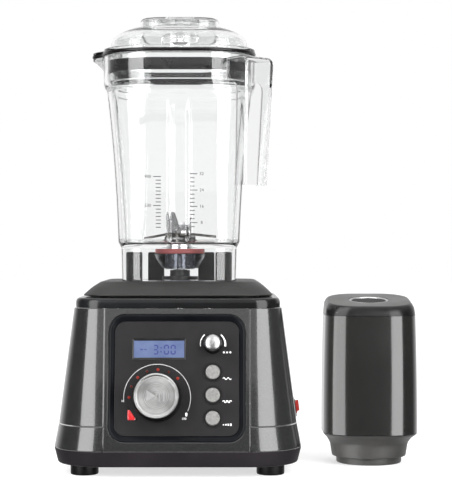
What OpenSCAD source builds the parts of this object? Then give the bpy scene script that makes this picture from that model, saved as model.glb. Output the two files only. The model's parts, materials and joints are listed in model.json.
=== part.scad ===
// Vacuum blender: a motor base with a clear jar and lid, and the vacuum pump that stands beside it.
// Millimetres, +Z up, front towards -Y. The origin is on the table under the middle of the whole set.

/* [Housing] */
// Widest width of the housing, at the foot of the band
base_w = 249; // [240:1:260]
// Reach of the housing in front of the jar axis, at the foot of the band
base_front = 122; // [116:1:130]
// Reach of the housing behind the jar axis, at the foot of the band
base_back = 118; // [112:1:128]
// Corner radius of the housing in plan
base_corner = 34; // [28:1:38]
// Height of the pan under the housing
pan_h = 16; // [13:0.5:20]
// Height of the lower band
band_h = 23.5; // [20:0.5:27]
// Height of the side covers
cover_h = 116; // [112:1:122]
// Lean of the front face
front_lean = 10; // [8:0.5:11]
// Lean of the side covers
side_lean = 7.4; // [5:0.1:8.5]
// Lean of the rear cover
back_lean = 5; // [3:0.5:6]
// Extra outward flare of the band on each side
band_flare = 4.5; // [2:0.5:6]
// Wall of the housing shells
shell_wall = 3; // [2.5:0.5:4]
// Seam between neighbouring shells
seam = 0.5; // [0.3:0.1:0.8]
// Half width of the front frame between the side covers
frame_half = 72; // [70.5:0.5:76]

/* [Feet] */
// Diameter of a rubber foot
foot_d = 28; // [22:1:34]
// Height of a rubber foot
foot_h = 10.5; // [8:0.5:14]
// Distance of the feet from the middle, sideways
foot_x = 93; // [85:1:97]
// Distance of the feet from the jar axis, to the front and to the back
foot_y = 86; // [78:1:90]

/* [Deck and pad] */
// Height of the deck that closes the housing
deck_h = 9.7; // [8:0.1:12]
// How far the deck stands in from the top of the covers
deck_inset = 1.6; // [0.5:0.1:3]
// Gap between the deck and the overhanging edge of the pad
pad_gap = 1.5; // [1:0.1:2.5]
// Height of the pad
pad_h = 14.3; // [11:0.1:17]
// Width of the pad at its lower edge
pad_w = 192; // [184:1:196]
// How far the pad's shoulder runs in from its lower edge
pad_shoulder = 19; // [15:1:22]
// Height of the posts that centre the jar
post_h = 30; // [26:0.5:31]
// Width of a post
post_w = 17; // [13:1:20]
// Distance of the two rear posts from the middle
post_rear = 27; // [22:1:40]

/* [Control panel] */
// Width of the panel's bezel
bezel_w = 136; // [130:1:138]
// Height of the panel's bezel
bezel_h = 126.5; // [120:0.5:128]
// Width of the bezel's rim
bezel_rim = 6.5; // [5:0.5:8]
// Corner radius of the bezel
bezel_corner = 17; // [14:1:20]
// How far the bezel stands proud of the housing
bezel_proud = 2.5; // [2.4:0.1:4]
// How far the panel's face lies behind the front of the housing
panel_sink = 2; // [1:0.5:4]
// Thickness of the panel
panel_t = 3; // [2:0.5:4]
// Height of the panel's middle above the pan
panel_rise = 71; // [70:0.1:72]
// Width of the display's opening
lcd_w = 53; // [44:0.5:54]
// Height of the display's opening
lcd_h = 21.5; // [16:0.5:23]
// Middle of the display, sideways from the middle of the panel
lcd_u = -17.8; // [-22:0.2:-14]
// Middle of the display below the top of the bezel
lcd_drop = 34; // [27.5:0.5:35]
// Row of the mode knob and the buttons, from the middle of the panel
button_u = 35.4; // [32:0.2:37]
// Height of the top button above the middle of the panel
button_v = 6.2; // [4:0.2:8]
// Distance between two buttons
button_pitch = 22.7; // [21:0.1:24]
// Middle of the mode knob below the top of the bezel
mode_drop = 29.25; // [26.5:0.25:32]
// Middle of the speed knob, sideways from the middle of the panel
speed_u = -19.4; // [-22:0.2:-16]
// Middle of the speed knob above the middle of the panel
speed_v = -18.9; // [-20:0.1:-17]
// Number of speed lights
led_count = 7; // [5:1:9]
// Radius of the arc of speed lights
led_arc = 27.7; // [26.5:0.1:29.5]
// Diameter of a speed light
led_d = 3; // [2:0.1:3.4]

/* [Knobs and buttons] */
// Diameter of the speed knob at its skirt
speed_d = 48; // [46:0.5:49.5]
// Diameter of the speed knob's metal cap
speed_cap_d = 44.2; // [40:0.2:45]
// Height of the speed knob's dark body
speed_h = 17.5; // [12:0.5:20]
// Height of the speed knob's metal cap
speed_cap_h = 4.6; // [3.5:0.1:6]
// Push of the speed knob
speed_push = 1; // [0.5:0.1:1.2]
// Diameter of the mode knob
mode_d = 19; // [17:0.2:21]
// Height of the mode knob's dark body
mode_h = 11.5; // [9:0.5:14]
// Height of the mode knob's metal dome
mode_cap_h = 5; // [3.5:0.1:6.5]
// Diameter of a button
button_d = 14.4; // [12:0.2:15.4]
// Diameter of the ring that guides a button
guide_d = 18.7; // [17.4:0.1:20]
// How far a button stands proud of the panel
button_proud = 3; // [2.2:0.1:4]
// Diameter of a knob's spindle
spindle_d = 6; // [5:0.5:6.5]

/* [Power switch] */
// Height of the switch above the band
switch_rise = 13; // [11:0.5:30]
// Place of the switch along the side, from the jar axis
switch_y = -44; // [-55:1:20]
// Length of the rocker
rocker_l = 23; // [20:0.5:28]
// Height of the rocker
rocker_w = 11; // [9:0.5:13]
// Tilt of the rocker each way
rocker_tilt = 8; // [5:0.5:9]

/* [Jar] */
// Width of the jar just above its shoulder
jar_w = 125; // [121:0.5:128]
// Width of the jar below its collar
jar_top_w = 148; // [144:0.5:150]
// Width of the jar's collar
collar_w = 157; // [155:0.2:160]
// Height of the jar from its floor to its rim
jar_h = 193.7; // [184:0.1:210]
// Height of the collar that takes the lid
collar_h = 32; // [30:0.5:36]
// Height of the skirt under the jar's floor
skirt_h = 33; // [32:0.2:38]
// Wall of the jar
jar_wall = 4; // [3.4:0.1:4.4]
// Thickness of the jar's floor
jar_floor = 5.5; // [4.5:0.1:6.5]
// Corner radius of the jar just above its shoulder
jar_corner = 26; // [23:0.5:28]
// Reach of the pouring spout
spout = 13; // [8:0.5:15]
// Depth of the flow ribs inside the jar
rib_depth = 2.2; // [1:0.1:3]
// Width of the handle at its top
handle_w = 40; // [36:0.5:44]
// Width of the handle at its lower end
handle_foot_w = 33.4; // [28:0.2:36]
// Reach of the handle from the jar axis
handle_reach = 117.5; // [115:0.5:124]
// Length of the handle below its top
handle_l = 129; // [110:1:140]
// Wall of the handle
handle_wall = 4; // [3:0.1:5]

/* [Blades] */
// Reach of the long blades
blade_reach = 38; // [32:0.5:42]
// Height of the upturned blades above the jar's floor
blade_rise = 32.7; // [28:0.1:36]
// Width of a blade at its root
blade_w = 11; // [9:0.5:12]
// Thickness of a blade
blade_t = 2; // [1.4:0.1:2.2]
// Diameter of the blade spindle
blade_d = 10; // [8:0.5:11]
// Diameter of the hole in the jar's floor
floor_hole_d = 28; // [25:0.5:30]
// Diameter of the nut that holds the bearing
nut_d = 31.6; // [30:0.1:32]
// Diameter of the clear shroud round the nut, at its widest
shroud_d = 54; // [52:0.5:60]
// Number of teeth on the drive coupling
spline_n = 8; // [6:1:10]

/* [Lid] */
// Depth of the lid's plug
plug_h = 27.5; // [22:0.5:30]
// Height of the lid's dome with its flange
dome_h = 27; // [24:0.5:32]
// Width of the dome
dome_w = 140; // [136:0.5:142]
// Wall of the lid
lid_wall = 3; // [2.6:0.1:3.4]
// Gap between the plug and the jar
plug_gap = 1.8; // [1:0.1:3]
// Thickness of the seal under the lid's flange
seal_h = 3.2; // [2.5:0.1:4.5]
// Diameter of the cap
cap_d = 83; // [80:0.5:86]
// Height of the cap
cap_h = 8.7; // [7:0.1:11]
// Diameter of the port in the dome
port_d = 40; // [32:0.5:44]

/* [Motor] */
// Diameter of the motor shaft
shaft_d = 10; // [8:0.5:11]
// Diameter of the stator
stator_d = 104; // [94:1:108]
// Height of the stator
stator_h = 52; // [46:1:56]
// Air gap between armature and stator
air_gap = 0.8; // [0.5:0.1:0.9]
// Number of fan blades
fan_n = 9; // [7:1:11]

/* [Vacuum pump] */
// Distance from the jar axis to the pump's axis
pump_spacing = 199.4; // [190:0.2:220]
// How far the pump stands behind the jar axis
pump_back = 5; // [-20:1:20]
// Widest width of the pump, at the foot of its shell
pump_w = 98.2; // [94:0.2:104]
// Width of the pump at the top of its shell
pump_top_w = 94.4; // [90:0.2:96]
// Corner radius of the pump's shell
pump_corner = 32; // [24:1:36]
// Height of the pump's shell
pump_shell_h = 123; // [115:1:133]
// Height of the pump's top at its front
pump_top_h = 9.3; // [8:0.1:12]
// Rise of the pump's top from its front to its back
pump_rise = 12; // [0:0.5:14]
// Height of the collar under the shell
pump_collar_h = 25; // [22:0.5:28]
// Diameter of the collar where it meets the foot
pump_collar_d = 78; // [75:0.5:82]
// Diameter of the rubber foot of the pump
pump_foot_d = 68.6; // [64:0.2:71]
// Height of the rubber foot of the pump
pump_foot_h = 7; // [6:0.5:9]
// Diameter of the pump's button
pump_button_d = 42; // [36:0.5:46]
// Travel of the pump's button
pump_button_push = 2; // [1:0.1:2.4]

/* [Hidden] */
$fn = 48;

// Clearances: sliding parts, resting faces, shafts in bores, press seats
slide_fit = 0.3;
rest_fit = 0.3;
run_fit = 0.04;
seat_fit = 0.02;

// Facets of one rounded corner, and a cut that runs past the part
corner_steps = 8;
past = 1;
far = 400;

// Levels of the base
pan_z = foot_h;
band_z = pan_z + pan_h;
cover_z = band_z + band_h;
cover_top = cover_z + cover_h;
deck_z = cover_top + seam;
deck_top = deck_z + deck_h;
pad_z = deck_top + pad_gap;
pad_top = pad_z + pad_h;

// Plan of the housing at its foot, its band and its top
foot_half = base_w / 2;
cover_half = foot_half - band_flare;
top_half = cover_half - cover_h * tan(side_lean);
cover_front = base_front - band_h * tan(front_lean);
top_front = cover_front - cover_h * tan(front_lean);
cover_back = base_back - band_h * tan(back_lean);
top_back = cover_back - cover_h * tan(back_lean);

// Control panel frame: local x across, y up the leaning face, z out of it
panel_z = band_z + panel_rise;
panel_y = base_front - panel_rise * tan(front_lean);
lcd_size = [lcd_w, lcd_h];
lcd_at = [lcd_u, bezel_h / 2 - lcd_drop];
mode_v = bezel_h / 2 - mode_drop;
speed_at = [speed_u, speed_v];
panel_face = -panel_sink;
panel_rear = panel_face - panel_t;
board_face = panel_rear - 11.4;
board_t = 1.6;
knob_foot = panel_face + speed_push + 0.5;
speed_top = knob_foot + speed_h + speed_cap_h;

// Levels of the jar
jar_z = pad_top + rest_fit;
floor_under = jar_z + skirt_h;
floor_top = floor_under + jar_floor;
rim_z = floor_top + jar_h;
collar_z = rim_z - collar_h;
skirt_half = jar_w / 2 - 3;
skirt_wall = 3.5;
top_corner = jar_corner + 14;

// Outline of the jar: where the spout ends, and the foot and top of a flow rib
spout_half = 24;
spout_mid = 16;
collar_corner = collar_w / 2 - spout_half - 1.5;
rib_foot = 11;
rib_top = 8;

// Levels of the lid
seal_z = rim_z + rest_fit;
flange_z = seal_z + seal_h;
flange_h = 3;
flange_out = 1;
dome_z = flange_z + flange_h;
dome_top = flange_z + dome_h;
plug_z = rim_z - plug_h;
plug_half = collar_w / 2 - jar_wall - plug_gap;
plug_corner = collar_corner - jar_wall - plug_gap;
dome_corner = 38;
cap_z = dome_top + rest_fit;
cap_top = cap_z + cap_h;
port_r = port_d / 2;
port_fit = 0.08;
port_z = dome_top - 6;
valve_d = 16;

// Levels of the drive and the blades
spline_r = 6;
spline_tooth = [2.6, 2];
spline_gap = 0.25;
socket_d = 38;
socket_crown_d = 21;
socket_z = pad_top - 8;
socket_shelf = pad_top + 4.5;
socket_top = pad_top + 11;
blade_foot = socket_z + 6;
gasket_h = 5;
gasket_z = floor_under - gasket_h - seat_fit;
nut_z = socket_top + 1;
nut_h = floor_under - 2.5 - nut_z;
bearing_body_r = 9;
bearing_flange_r = floor_hole_d / 2 + 5;
bearing_flange_h = 6.7;
bearing_top = floor_top + bearing_flange_h;
hub_z = bearing_top + 0.5;
hub_top = hub_z + 3 * blade_t;
spindle_end = hub_top + 4;

// Levels of the motor
motor_r = stator_d / 2;
stator_mid = 110;
stator_z = stator_mid - stator_h / 2;
stator_top = stator_mid + stator_h / 2;
bore_r = motor_r - 21;
bracket_wall = 4;
bracket_h = 6;
bracket_in = motor_r + slide_fit;
upper_z = stator_top + 14;
lower_z = stator_z - 24;
deck_under = deck_top - 5.2;
shaft_z = lower_z - 22;
bearing_r = 13;
bearing_h = 9;
fan_h = 12;

// Levels of the pump
pump_collar_z = pump_foot_h + rest_fit;
pump_shell_z = pump_collar_z + pump_collar_h + rest_fit;
pump_lid_z = pump_shell_z + pump_shell_h + rest_fit;
pump_h = pump_lid_z + pump_top_h;
pump_wall = 2.5;
pump_half = pump_w / 2;
pump_top_half = pump_top_w / 2;
pump_lean = atan(pump_rise / pump_top_w);
pump_button_z = -1.2;
pump_pocket = pump_button_z - 4.5;
head_h = 28;
pump_motor_h = 40;

// Place of the blender and of the pump about the middle of the set
set_front = panel_y - (speed_at.y - speed_cap_d / 2) * sin(front_lean) + speed_top * cos(front_lean);
blender_x = (foot_half - pump_spacing - pump_half) / 2;
blender_y = (set_front - base_back) / 2;
pump_x = blender_x + pump_spacing;
pump_y = blender_y + pump_back;

// Shared shapes

// Quarter round about a centre, from an angle on
function quarter(cx, cy, r, from) =
    [for (i = [0 : corner_steps])
        let (a = from + 90 * i / corner_steps)
        [cx + r * cos(a), cy + r * sin(a)]];

// Rounded rectangle with its own reach to the front and to the back
function plan(half, front, back, r) = concat(
    quarter(half - r, back - r, r, 0),
    quarter(r - half, back - r, r, 90),
    quarter(r - half, r - front, r, 180),
    quarter(half - r, r - front, r, 270));

// Rounded square about the axis
function squircle(half, r) = plan(half, half, half, r);

// One side of the jar's outline: a rib pushes it in, the spout pushes it out
function rib_share(t) = abs(t) <= rib_top ? 1 : 0;
function spout_share(t) = pow(cos(90 * t / spout_half), 2);
side_steps = [spout_half, spout_mid, rib_foot, rib_top, 0, -rib_top, -rib_foot, -spout_mid, -spout_half];

function turn(p, k) = k == 0 ? p : turn([-p.y, p.x], k - 1);

// Outline of the jar and lid: four equal sides, the left one with the spout
function jar_plan(half, r, out = 0, rib = 0) =
    let (fit = min(1, (half - r) / (spout_half + 1)))
    [for (k = [0 : 3], p = concat(
        quarter(half - r, half - r, r, 0),
        [for (t = side_steps) [t * fit, half - rib * rib_share(t) + (k == 1 ? out * spout_share(t) : 0)]]))
        turn(p, k)];

function at_z(points, z) = [for (p = points) [p.x, p.y, z]];

// Faces between rings of equal count, from one ring to the next
function sides(n, from, to) = [
    for (i = [0 : n - 1]) let (j = (i + 1) % n)
    each [[from * n + i, to * n + i, to * n + j], [from * n + i, to * n + j, from * n + j]]];

// Solid through a stack of rings; both ends start inside a corner
module loft(rings) {
    n = len(rings[0]);
    m = len(rings);
    lead = corner_steps / 2;
    walls = [for (k = [0 : m - 2]) each sides(n, k, k + 1)];
    foot = [[for (i = [0 : n - 1]) (i + lead) % n]];
    head = [[for (i = [n - 1 : -1 : 0]) (m - 1) * n + (i + lead) % n]];
    polyhedron(points = [for (r = rings) each r], faces = concat(walls, foot, head), convexity = 8);
}

// Tube through a stack of rings that closes on itself
module loft_loop(rings) {
    n = len(rings[0]);
    m = len(rings);
    walls = [for (k = [0 : m - 1]) each sides(n, k, (k + 1) % m)];
    polyhedron(points = [for (r = rings) each r], faces = walls, convexity = 8);
}

// Flat rounded rectangle about the middle, with true arcs
module rounded(w, h, r) {
    square([w - 2 * r, h], center = true);
    square([w, h - 2 * r], center = true);
    for (x = [-1, 1], y = [-1, 1]) {
        translate([x * (w / 2 - r), y * (h / 2 - r)])
            circle(r);
    }
}

module ring(outer, inner, h) {
    difference() {
        cylinder(r = outer, h = h);
        translate([0, 0, -past])
            cylinder(r = inner, h = h + 2 * past);
    }
}

module at_blender() {
    translate([blender_x, blender_y, 0])
        children();
}

module at_pump() {
    translate([pump_x, pump_y, 0])
        children();
}

module at_pump_top() {
    translate([pump_x, pump_y, pump_h + pump_rise / 2])
        rotate([pump_lean, 0, 0])
            children();
}

module at_panel() {
    at_blender() {
        translate([0, -panel_y, panel_z])
            rotate([90 - front_lean, 0, 0])
                children();
    }
}

// Place of a button on the panel, counted from the top
function button_at(i) = [button_u, button_v - i * button_pitch];

// Base: shells

function housing_ring(half, front, back, inset, z) =
    at_z(plan(half - inset, front - inset, back - inset, base_corner - inset), z);

// The whole tapered shell between two levels of the covers or the band
module cover_shell() {
    loft_loop([
        housing_ring(cover_half, cover_front, cover_back, 0, cover_z + seam),
        housing_ring(top_half, top_front, top_back, 0, cover_top),
        housing_ring(top_half, top_front, top_back, shell_wall, cover_top),
        housing_ring(cover_half, cover_front, cover_back, shell_wall, cover_z + seam)]);
}

module band_shell() {
    loft_loop([
        housing_ring(foot_half, base_front, base_back, 0, band_z),
        housing_ring(cover_half, cover_front, cover_back, 0, cover_z),
        housing_ring(top_half, top_front, top_back, 0, cover_top),
        housing_ring(top_half, top_front, top_back, shell_wall, cover_top),
        housing_ring(cover_half, cover_front, cover_back, shell_wall, cover_z),
        housing_ring(foot_half, base_front, base_back, shell_wall, band_z)]);
}

// Band all round with the front frame that rises from it
module lower_housing() color("#3f4242") {
    difference() {
        at_blender()
            band_shell();
        at_blender() {
            for (s = [-1, 1]) {
                translate([s * (frame_half + far / 2), 0, cover_z + far / 2])
                    cube(far, center = true);
            }
            translate([0, far / 2, cover_z + far / 2])
                cube(far, center = true);
        }
        at_panel() {
            translate([0, 0, -shell_wall - 6])
                linear_extrude(shell_wall + 12)
                    rounded(bezel_w + 2 * slide_fit, bezel_h + 2 * slide_fit, bezel_corner + slide_fit);
        }
    }
}

module side_cover(s) {
    intersection() {
        cover_shell();
        translate([s * (frame_half + seam + far / 2), 0, 0])
            cube([far, far, 2 * far], center = true);
    }
}

module left_cover() color("#454848") {
    at_blender()
        side_cover(-1);
}

switch_z = cover_z + switch_rise;
switch_x = cover_half - switch_rise * tan(side_lean);
switch_wall = 1.4;
switch_pocket = [rocker_w + 0.8, rocker_l + 2.4];
switch_body = [switch_pocket.x + 2 * switch_wall, switch_pocket.y + 2 * switch_wall];
switch_depth = 10;
rocker_pivot = -3;
pin_r = 1.2;

module at_switch() {
    at_blender() {
        translate([switch_x, switch_y, switch_z])
            rotate([0, 90 - side_lean, 0])
                children();
    }
}

module right_cover() color("#454848") {
    difference() {
        at_blender()
            side_cover(1);
        at_switch() {
            translate([0, 0, -shell_wall])
                cube([switch_body.x + 0.4, switch_body.y + 0.4, 4 * shell_wall], center = true);
        }
    }
}

gland_z = cover_z + 14;
gland_y = cover_back - 14 * tan(back_lean);
gland_r = 6;
vent_w = 70;
vent_h = 3;
vent_pitch = 8;
vent_n = 7;

// Rear cover with its vents and the hole for the gland
module rear_cover() color("#454848") {
    difference() {
        at_blender() {
            intersection() {
                cover_shell();
                translate([0, far / 2, 0])
                    cube([2 * frame_half, far, 2 * far], center = true);
            }
        }
        at_blender() {
            for (i = [0 : vent_n - 1]) {
                translate([0, cover_back, cover_z + 44 + i * vent_pitch])
                    cube([vent_w, 60, vent_h], center = true);
            }
            translate([0, gland_y, gland_z])
                rotate([back_lean - 90, 0, 0])
                    cylinder(r = gland_r + 0.2, h = 40, center = true);
        }
    }
}

// Bush where the supply lead enters
module cord_gland() color("#1c1c1d") {
    at_blender() {
        translate([0, gland_y, gland_z])
            rotate([back_lean - 90, 0, 0]) {
                difference() {
                    union() {
                        translate([0, 0, -shell_wall - 3])
                            cylinder(r = gland_r, h = shell_wall + 4);
                        translate([0, 0, 0.2])
                            cylinder(r1 = gland_r + 3, r2 = gland_r + 1.8, h = 2.2);
                    }
                    translate([0, 0, -20])
                        cylinder(r = 3.8, h = 40);
                }
            }
    }
}

pan_inset = 0.2;
pan_taper = 3.2;
pan_round = 3;
pan_floor = 3;
foot_places = [for (x = [-1, 1], y = [-1, 1]) [x * foot_x, y * foot_y]];
screw_r = 2;
boss_r = 5;
boss_h = 9;

function pan_ring(inset, z) =
    at_z(plan(foot_half - inset, base_front - inset, base_back - inset, base_corner - inset / 2), z);

// Tray that closes the housing from below
module base_pan() color("#363235") {
    at_blender() {
        difference() {
            union() {
                loft([
                    pan_ring(pan_taper + pan_round, pan_z),
                    pan_ring(pan_taper + 0.9, pan_z + 0.9),
                    pan_ring(pan_taper, pan_z + pan_round),
                    pan_ring(pan_inset, band_z - seam),
                    pan_ring(pan_inset + shell_wall, band_z - seam),
                    pan_ring(pan_taper + shell_wall, pan_z + pan_floor + 1),
                    pan_ring(pan_taper + shell_wall + 1, pan_z + pan_floor)]);
                for (p = foot_places) {
                    translate([p.x, p.y, pan_z + pan_floor - 0.5])
                        cylinder(r = boss_r, h = boss_h);
                }
            }
            for (p = foot_places) {
                translate([p.x, p.y, 0])
                    cylinder(r = screw_r + 0.1, h = 60);
            }
            for (i = [-4 : 4]) {
                translate([i * 12, 0, pan_z])
                    cube([5, 70, 4 * pan_floor], center = true);
            }
        }
    }
}

foot_round = 1.5;
head_r = 4;
head_sink = 5.5;

module rubber_feet() color("#121214") {
    at_blender() {
        for (p = foot_places) {
            translate([p.x, p.y, 0])
                rotate_extrude()
                    polygon([
                        [head_r + 0.6, 0],
                        [foot_d / 2 - foot_round, 0],
                        [foot_d / 2 - foot_round * 0.3, foot_round * 0.3],
                        [foot_d / 2, foot_round],
                        [foot_d / 2, foot_h],
                        [screw_r + 0.2, foot_h],
                        [screw_r + 0.2, head_sink],
                        [head_r + 0.6, head_sink]]);
        }
    }
}

// Screws that hold the feet and the pan
module case_screws() color("#8d9093") {
    at_blender() {
        for (p = foot_places) {
            translate([p.x, p.y, head_sink]) {
                translate([0, 0, -2.5])
                    cylinder(r = head_r, h = 2.5);
                cylinder(r = screw_r, h = pan_z + pan_floor + boss_h - head_sink - 2);
            }
        }
    }
}

// Edge of the deck: steps in beyond the inset, and shares of its height
deck_edge = [[0.7, 0], [0.2, 0.15], [0, 0.4], [0.3, 0.64], [1.1, 0.83], [2.6, 0.96], [5, 1]];

function deck_ring(e) =
    let (inset = deck_inset + e.x)
    at_z(plan(top_half - inset, top_front - inset, top_back - inset, base_corner - inset), deck_z + deck_h * e.y);

socket_hole = socket_d / 2 + 2;
deck_rib = 9;
deck_depth = top_front + top_back;

// Bullnosed deck that closes the housing from above
module top_deck() color("#17181b") {
    at_blender() {
        difference() {
            loft([for (e = deck_edge) deck_ring(e)]);
            translate([0, (top_back - top_front) / 2, deck_z - past])
                linear_extrude(deck_under - deck_z + past)
                    rounded(2 * (top_half - deck_rib), deck_depth - 2 * deck_rib, base_corner - deck_rib);
            cylinder(r = socket_hole, h = far);
        }
    }
}

pad_half = pad_w / 2;
pad_front = top_front - 7.5;
pad_back = top_back - 8;
pad_corner = 30;
pad_depth = pad_front + pad_back;
plinth_inset = 14;

function pad_ring(share, z) =
    let (inset = pad_shoulder * share)
    at_z(plan(pad_half - inset, pad_front - inset, pad_back - inset, pad_corner - inset * 0.35), z);

post_half = skirt_half - skirt_wall - 1.5;
post_corner = jar_corner - 2.5 - skirt_wall - 1.5;

// Soft pad with the four posts that centre the jar
module jar_pad() color("#3b3a39") {
    at_blender() {
        difference() {
            union() {
                loft([
                    pad_ring(0.03, pad_z),
                    pad_ring(0, pad_z + 0.8),
                    pad_ring(0.16, pad_z + 0.28 * pad_h),
                    pad_ring(0.44, pad_z + 0.6 * pad_h),
                    pad_ring(0.7, pad_z + 0.83 * pad_h),
                    pad_ring(0.87, pad_z + 0.96 * pad_h),
                    pad_ring(1, pad_top)]);
                translate([0, (pad_back - pad_front) / 2, deck_top])
                    linear_extrude(pad_gap + 2)
                        rounded(pad_w - 2 * plinth_inset, pad_depth - 2 * plinth_inset, pad_corner - 8);
                translate([0, 0, pad_top - 2])
                    linear_extrude(post_h + 2)
                        intersection() {
                            rounded(2 * post_half, 2 * post_half, post_corner);
                            for (x = [-1, 1]) {
                                translate([x * (post_half - post_w / 2), post_w / 2 - post_half])
                                    square(post_w, center = true);
                                translate([x * post_rear, post_half - post_w / 2])
                                    square(post_w, center = true);
                            }
                        }
            }
            cylinder(r = socket_hole, h = far);
        }
    }
}

// Base: control panel

function bezel_ring(inset, z) =
    at_z(plan(bezel_w / 2 - inset, bezel_h / 2 - inset, bezel_h / 2 - inset, bezel_corner - inset), z);

bezel_rear = panel_rear - 2;

module panel_bezel() color("#0e0f13") {
    at_panel() {
        loft_loop([
            bezel_ring(0, bezel_rear),
            bezel_ring(0, bezel_proud - 1.2),
            bezel_ring(0.5, bezel_proud - 0.3),
            bezel_ring(1.4, bezel_proud),
            bezel_ring(2.4, bezel_proud - 0.3),
            bezel_ring(bezel_rim - 1.2, panel_face + 1),
            bezel_ring(bezel_rim, panel_face - 0.5),
            bezel_ring(bezel_rim, bezel_rear)]);
    }
}

plate_w = bezel_w - 2 * bezel_rim - 0.4;
plate_h = bezel_h - 2 * bezel_rim - 0.4;
plate_corner = bezel_corner - bezel_rim - 0.2;
spindle_hole = spindle_d / 2 + 1;
guide_hole = guide_d / 2 + 0.1;
stand_r = 3;
stand_at = [plate_w / 2 - 6.5, plate_h / 2 - 6.5];
led_from = 179.5;
led_to = 43.3;
lens_size = [9.6, 12.6];
lens_at = [-48.4, -41];

function led_at(i) =
    let (a = led_from + (led_to - led_from) * i / (led_count - 1))
    [speed_at.x + led_arc * cos(a), speed_at.y + led_arc * sin(a)];

module lens_outline(grow) {
    translate(lens_at)
        polygon([
            [-grow, -grow],
            [lens_size.x + 2.3 * grow, -grow],
            [-grow, lens_size.y + 3 * grow]]);
}

// Panel plate with its openings and the four stands behind it
module control_panel() color("#1e1d20") {
    at_panel() {
        difference() {
            translate([0, 0, panel_rear])
                linear_extrude(panel_t)
                    rounded(plate_w, plate_h, plate_corner);
            translate([0, 0, panel_rear - past])
                linear_extrude(panel_t + 2 * past) {
                    translate(lcd_at)
                        square(lcd_size, center = true);
                    translate(speed_at)
                        circle(spindle_hole);
                    translate([button_u, mode_v])
                        circle(spindle_hole);
                    for (i = [0 : 2]) {
                        translate(button_at(i))
                            circle(guide_hole);
                    }
                    for (i = [0 : led_count - 1]) {
                        translate(led_at(i))
                            circle(led_d / 2 + 0.1);
                    }
                    lens_outline(0.15);
                }
        }
        for (x = [-1, 1], y = [-1, 1]) {
            translate([x * stand_at.x, y * stand_at.y, board_face])
                cylinder(r = stand_r, h = panel_rear - board_face + 1);
        }
    }
}

lcd_rim = 2.5;
lcd_t = 5;

module lcd_module() color("#8f9fd6") {
    at_panel() {
        translate([lcd_at.x, lcd_at.y, panel_rear - 0.2 - lcd_t])
            linear_extrude(lcd_t)
                square([lcd_size.x + 2 * lcd_rim, lcd_size.y + 2 * lcd_rim], center = true);
    }
}

guide_lip = 0.6;

// Three rings that guide the buttons
module button_guides() color("#0c0c0e") {
    at_panel() {
        for (i = [0 : 2]) {
            translate([button_at(i).x, button_at(i).y, panel_rear - 2])
                ring(guide_d / 2, button_d / 2 + slide_fit, panel_t + 2 + guide_lip);
        }
    }
}

module speed_leds() color("#8e2a20") {
    at_panel() {
        for (i = [0 : led_count - 1]) {
            translate([led_at(i).x, led_at(i).y, panel_rear - 1])
                cylinder(r = led_d / 2, h = panel_t + 1.2);
        }
    }
}

module start_lens() color("#d0242c") {
    at_panel() {
        translate([0, 0, panel_rear - 1])
            linear_extrude(panel_t + 1.2)
                lens_outline(0);
    }
}

module control_board() color("#1d5a34") {
    at_panel() {
        translate([0, 0, board_face - board_t])
            linear_extrude(board_t)
                rounded(plate_w - 6, plate_h - 6, 4);
    }
}

encoder_w = 14;
encoder_h = 6;

// Rotary encoders behind the two knobs
module encoders() color("#6b6e72") {
    at_panel() {
        for (p = [speed_at, [button_u, mode_v]]) {
            translate([p.x, p.y, board_face]) {
                difference() {
                    translate([-encoder_w / 2, -encoder_w / 2, 0])
                        cube([encoder_w, encoder_w, encoder_h]);
                    translate([0, 0, 0.4])
                        cylinder(d = spindle_d + 2 * run_fit, h = encoder_h);
                }
            }
        }
    }
}

// Controls that move

spindle_foot = board_face + 0.8 + speed_push;
spindle_top = knob_foot + speed_h - 3;

module speed_stem() color("#a7a9ac") {
    at_panel() {
        translate([speed_at.x, speed_at.y, spindle_foot])
            cylinder(d = spindle_d, h = spindle_top - spindle_foot);
    }
}

module speed_knob() color("#151517") {
    at_panel() {
        translate([speed_at.x, speed_at.y, knob_foot]) {
            difference() {
                rotate_extrude()
                    polygon([
                        [0, 0],
                        [speed_d / 2 - 0.6, 0],
                        [speed_d / 2, 0.6],
                        [speed_d / 2, 4],
                        [speed_cap_d / 2 + 0.9, speed_h - 1],
                        [speed_cap_d / 2 + 0.3, speed_h],
                        [0, speed_h]]);
                translate([0, 0, -past])
                    cylinder(d = spindle_d + 2 * run_fit, h = spindle_top - knob_foot + past + 0.1);
            }
        }
    }
}

cap_rim = 1.6;
cap_dish = 0.8;

// Turned metal cap with a dished face
module speed_knob_cap() color("#c9c9c7") {
    at_panel() {
        translate([speed_at.x, speed_at.y, knob_foot + speed_h])
            rotate_extrude()
                polygon([
                    [0, 0],
                    [speed_cap_d / 2, 0],
                    [speed_cap_d / 2, speed_cap_h - 0.8],
                    [speed_cap_d / 2 - 0.8, speed_cap_h],
                    [speed_cap_d / 2 - cap_rim, speed_cap_h],
                    [speed_cap_d / 2 - cap_rim - 0.8, speed_cap_h - cap_dish],
                    [0, speed_cap_h - cap_dish]]);
    }
}

mode_foot = panel_face + 0.6;
mode_top_r = mode_d / 2 - 1;

module mode_knob() color("#151517") {
    at_panel() {
        translate([button_u, mode_v, mode_foot]) {
            rotate_extrude()
                polygon([
                    [0, 0],
                    [mode_d / 2 - 0.5, 0],
                    [mode_d / 2, 0.5],
                    [mode_d / 2, 3],
                    [mode_top_r, mode_h],
                    [0, mode_h]]);
            translate([0, 0, board_face + 0.8 - mode_foot])
                cylinder(d = spindle_d, h = mode_foot - board_face);
        }
    }
}

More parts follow.
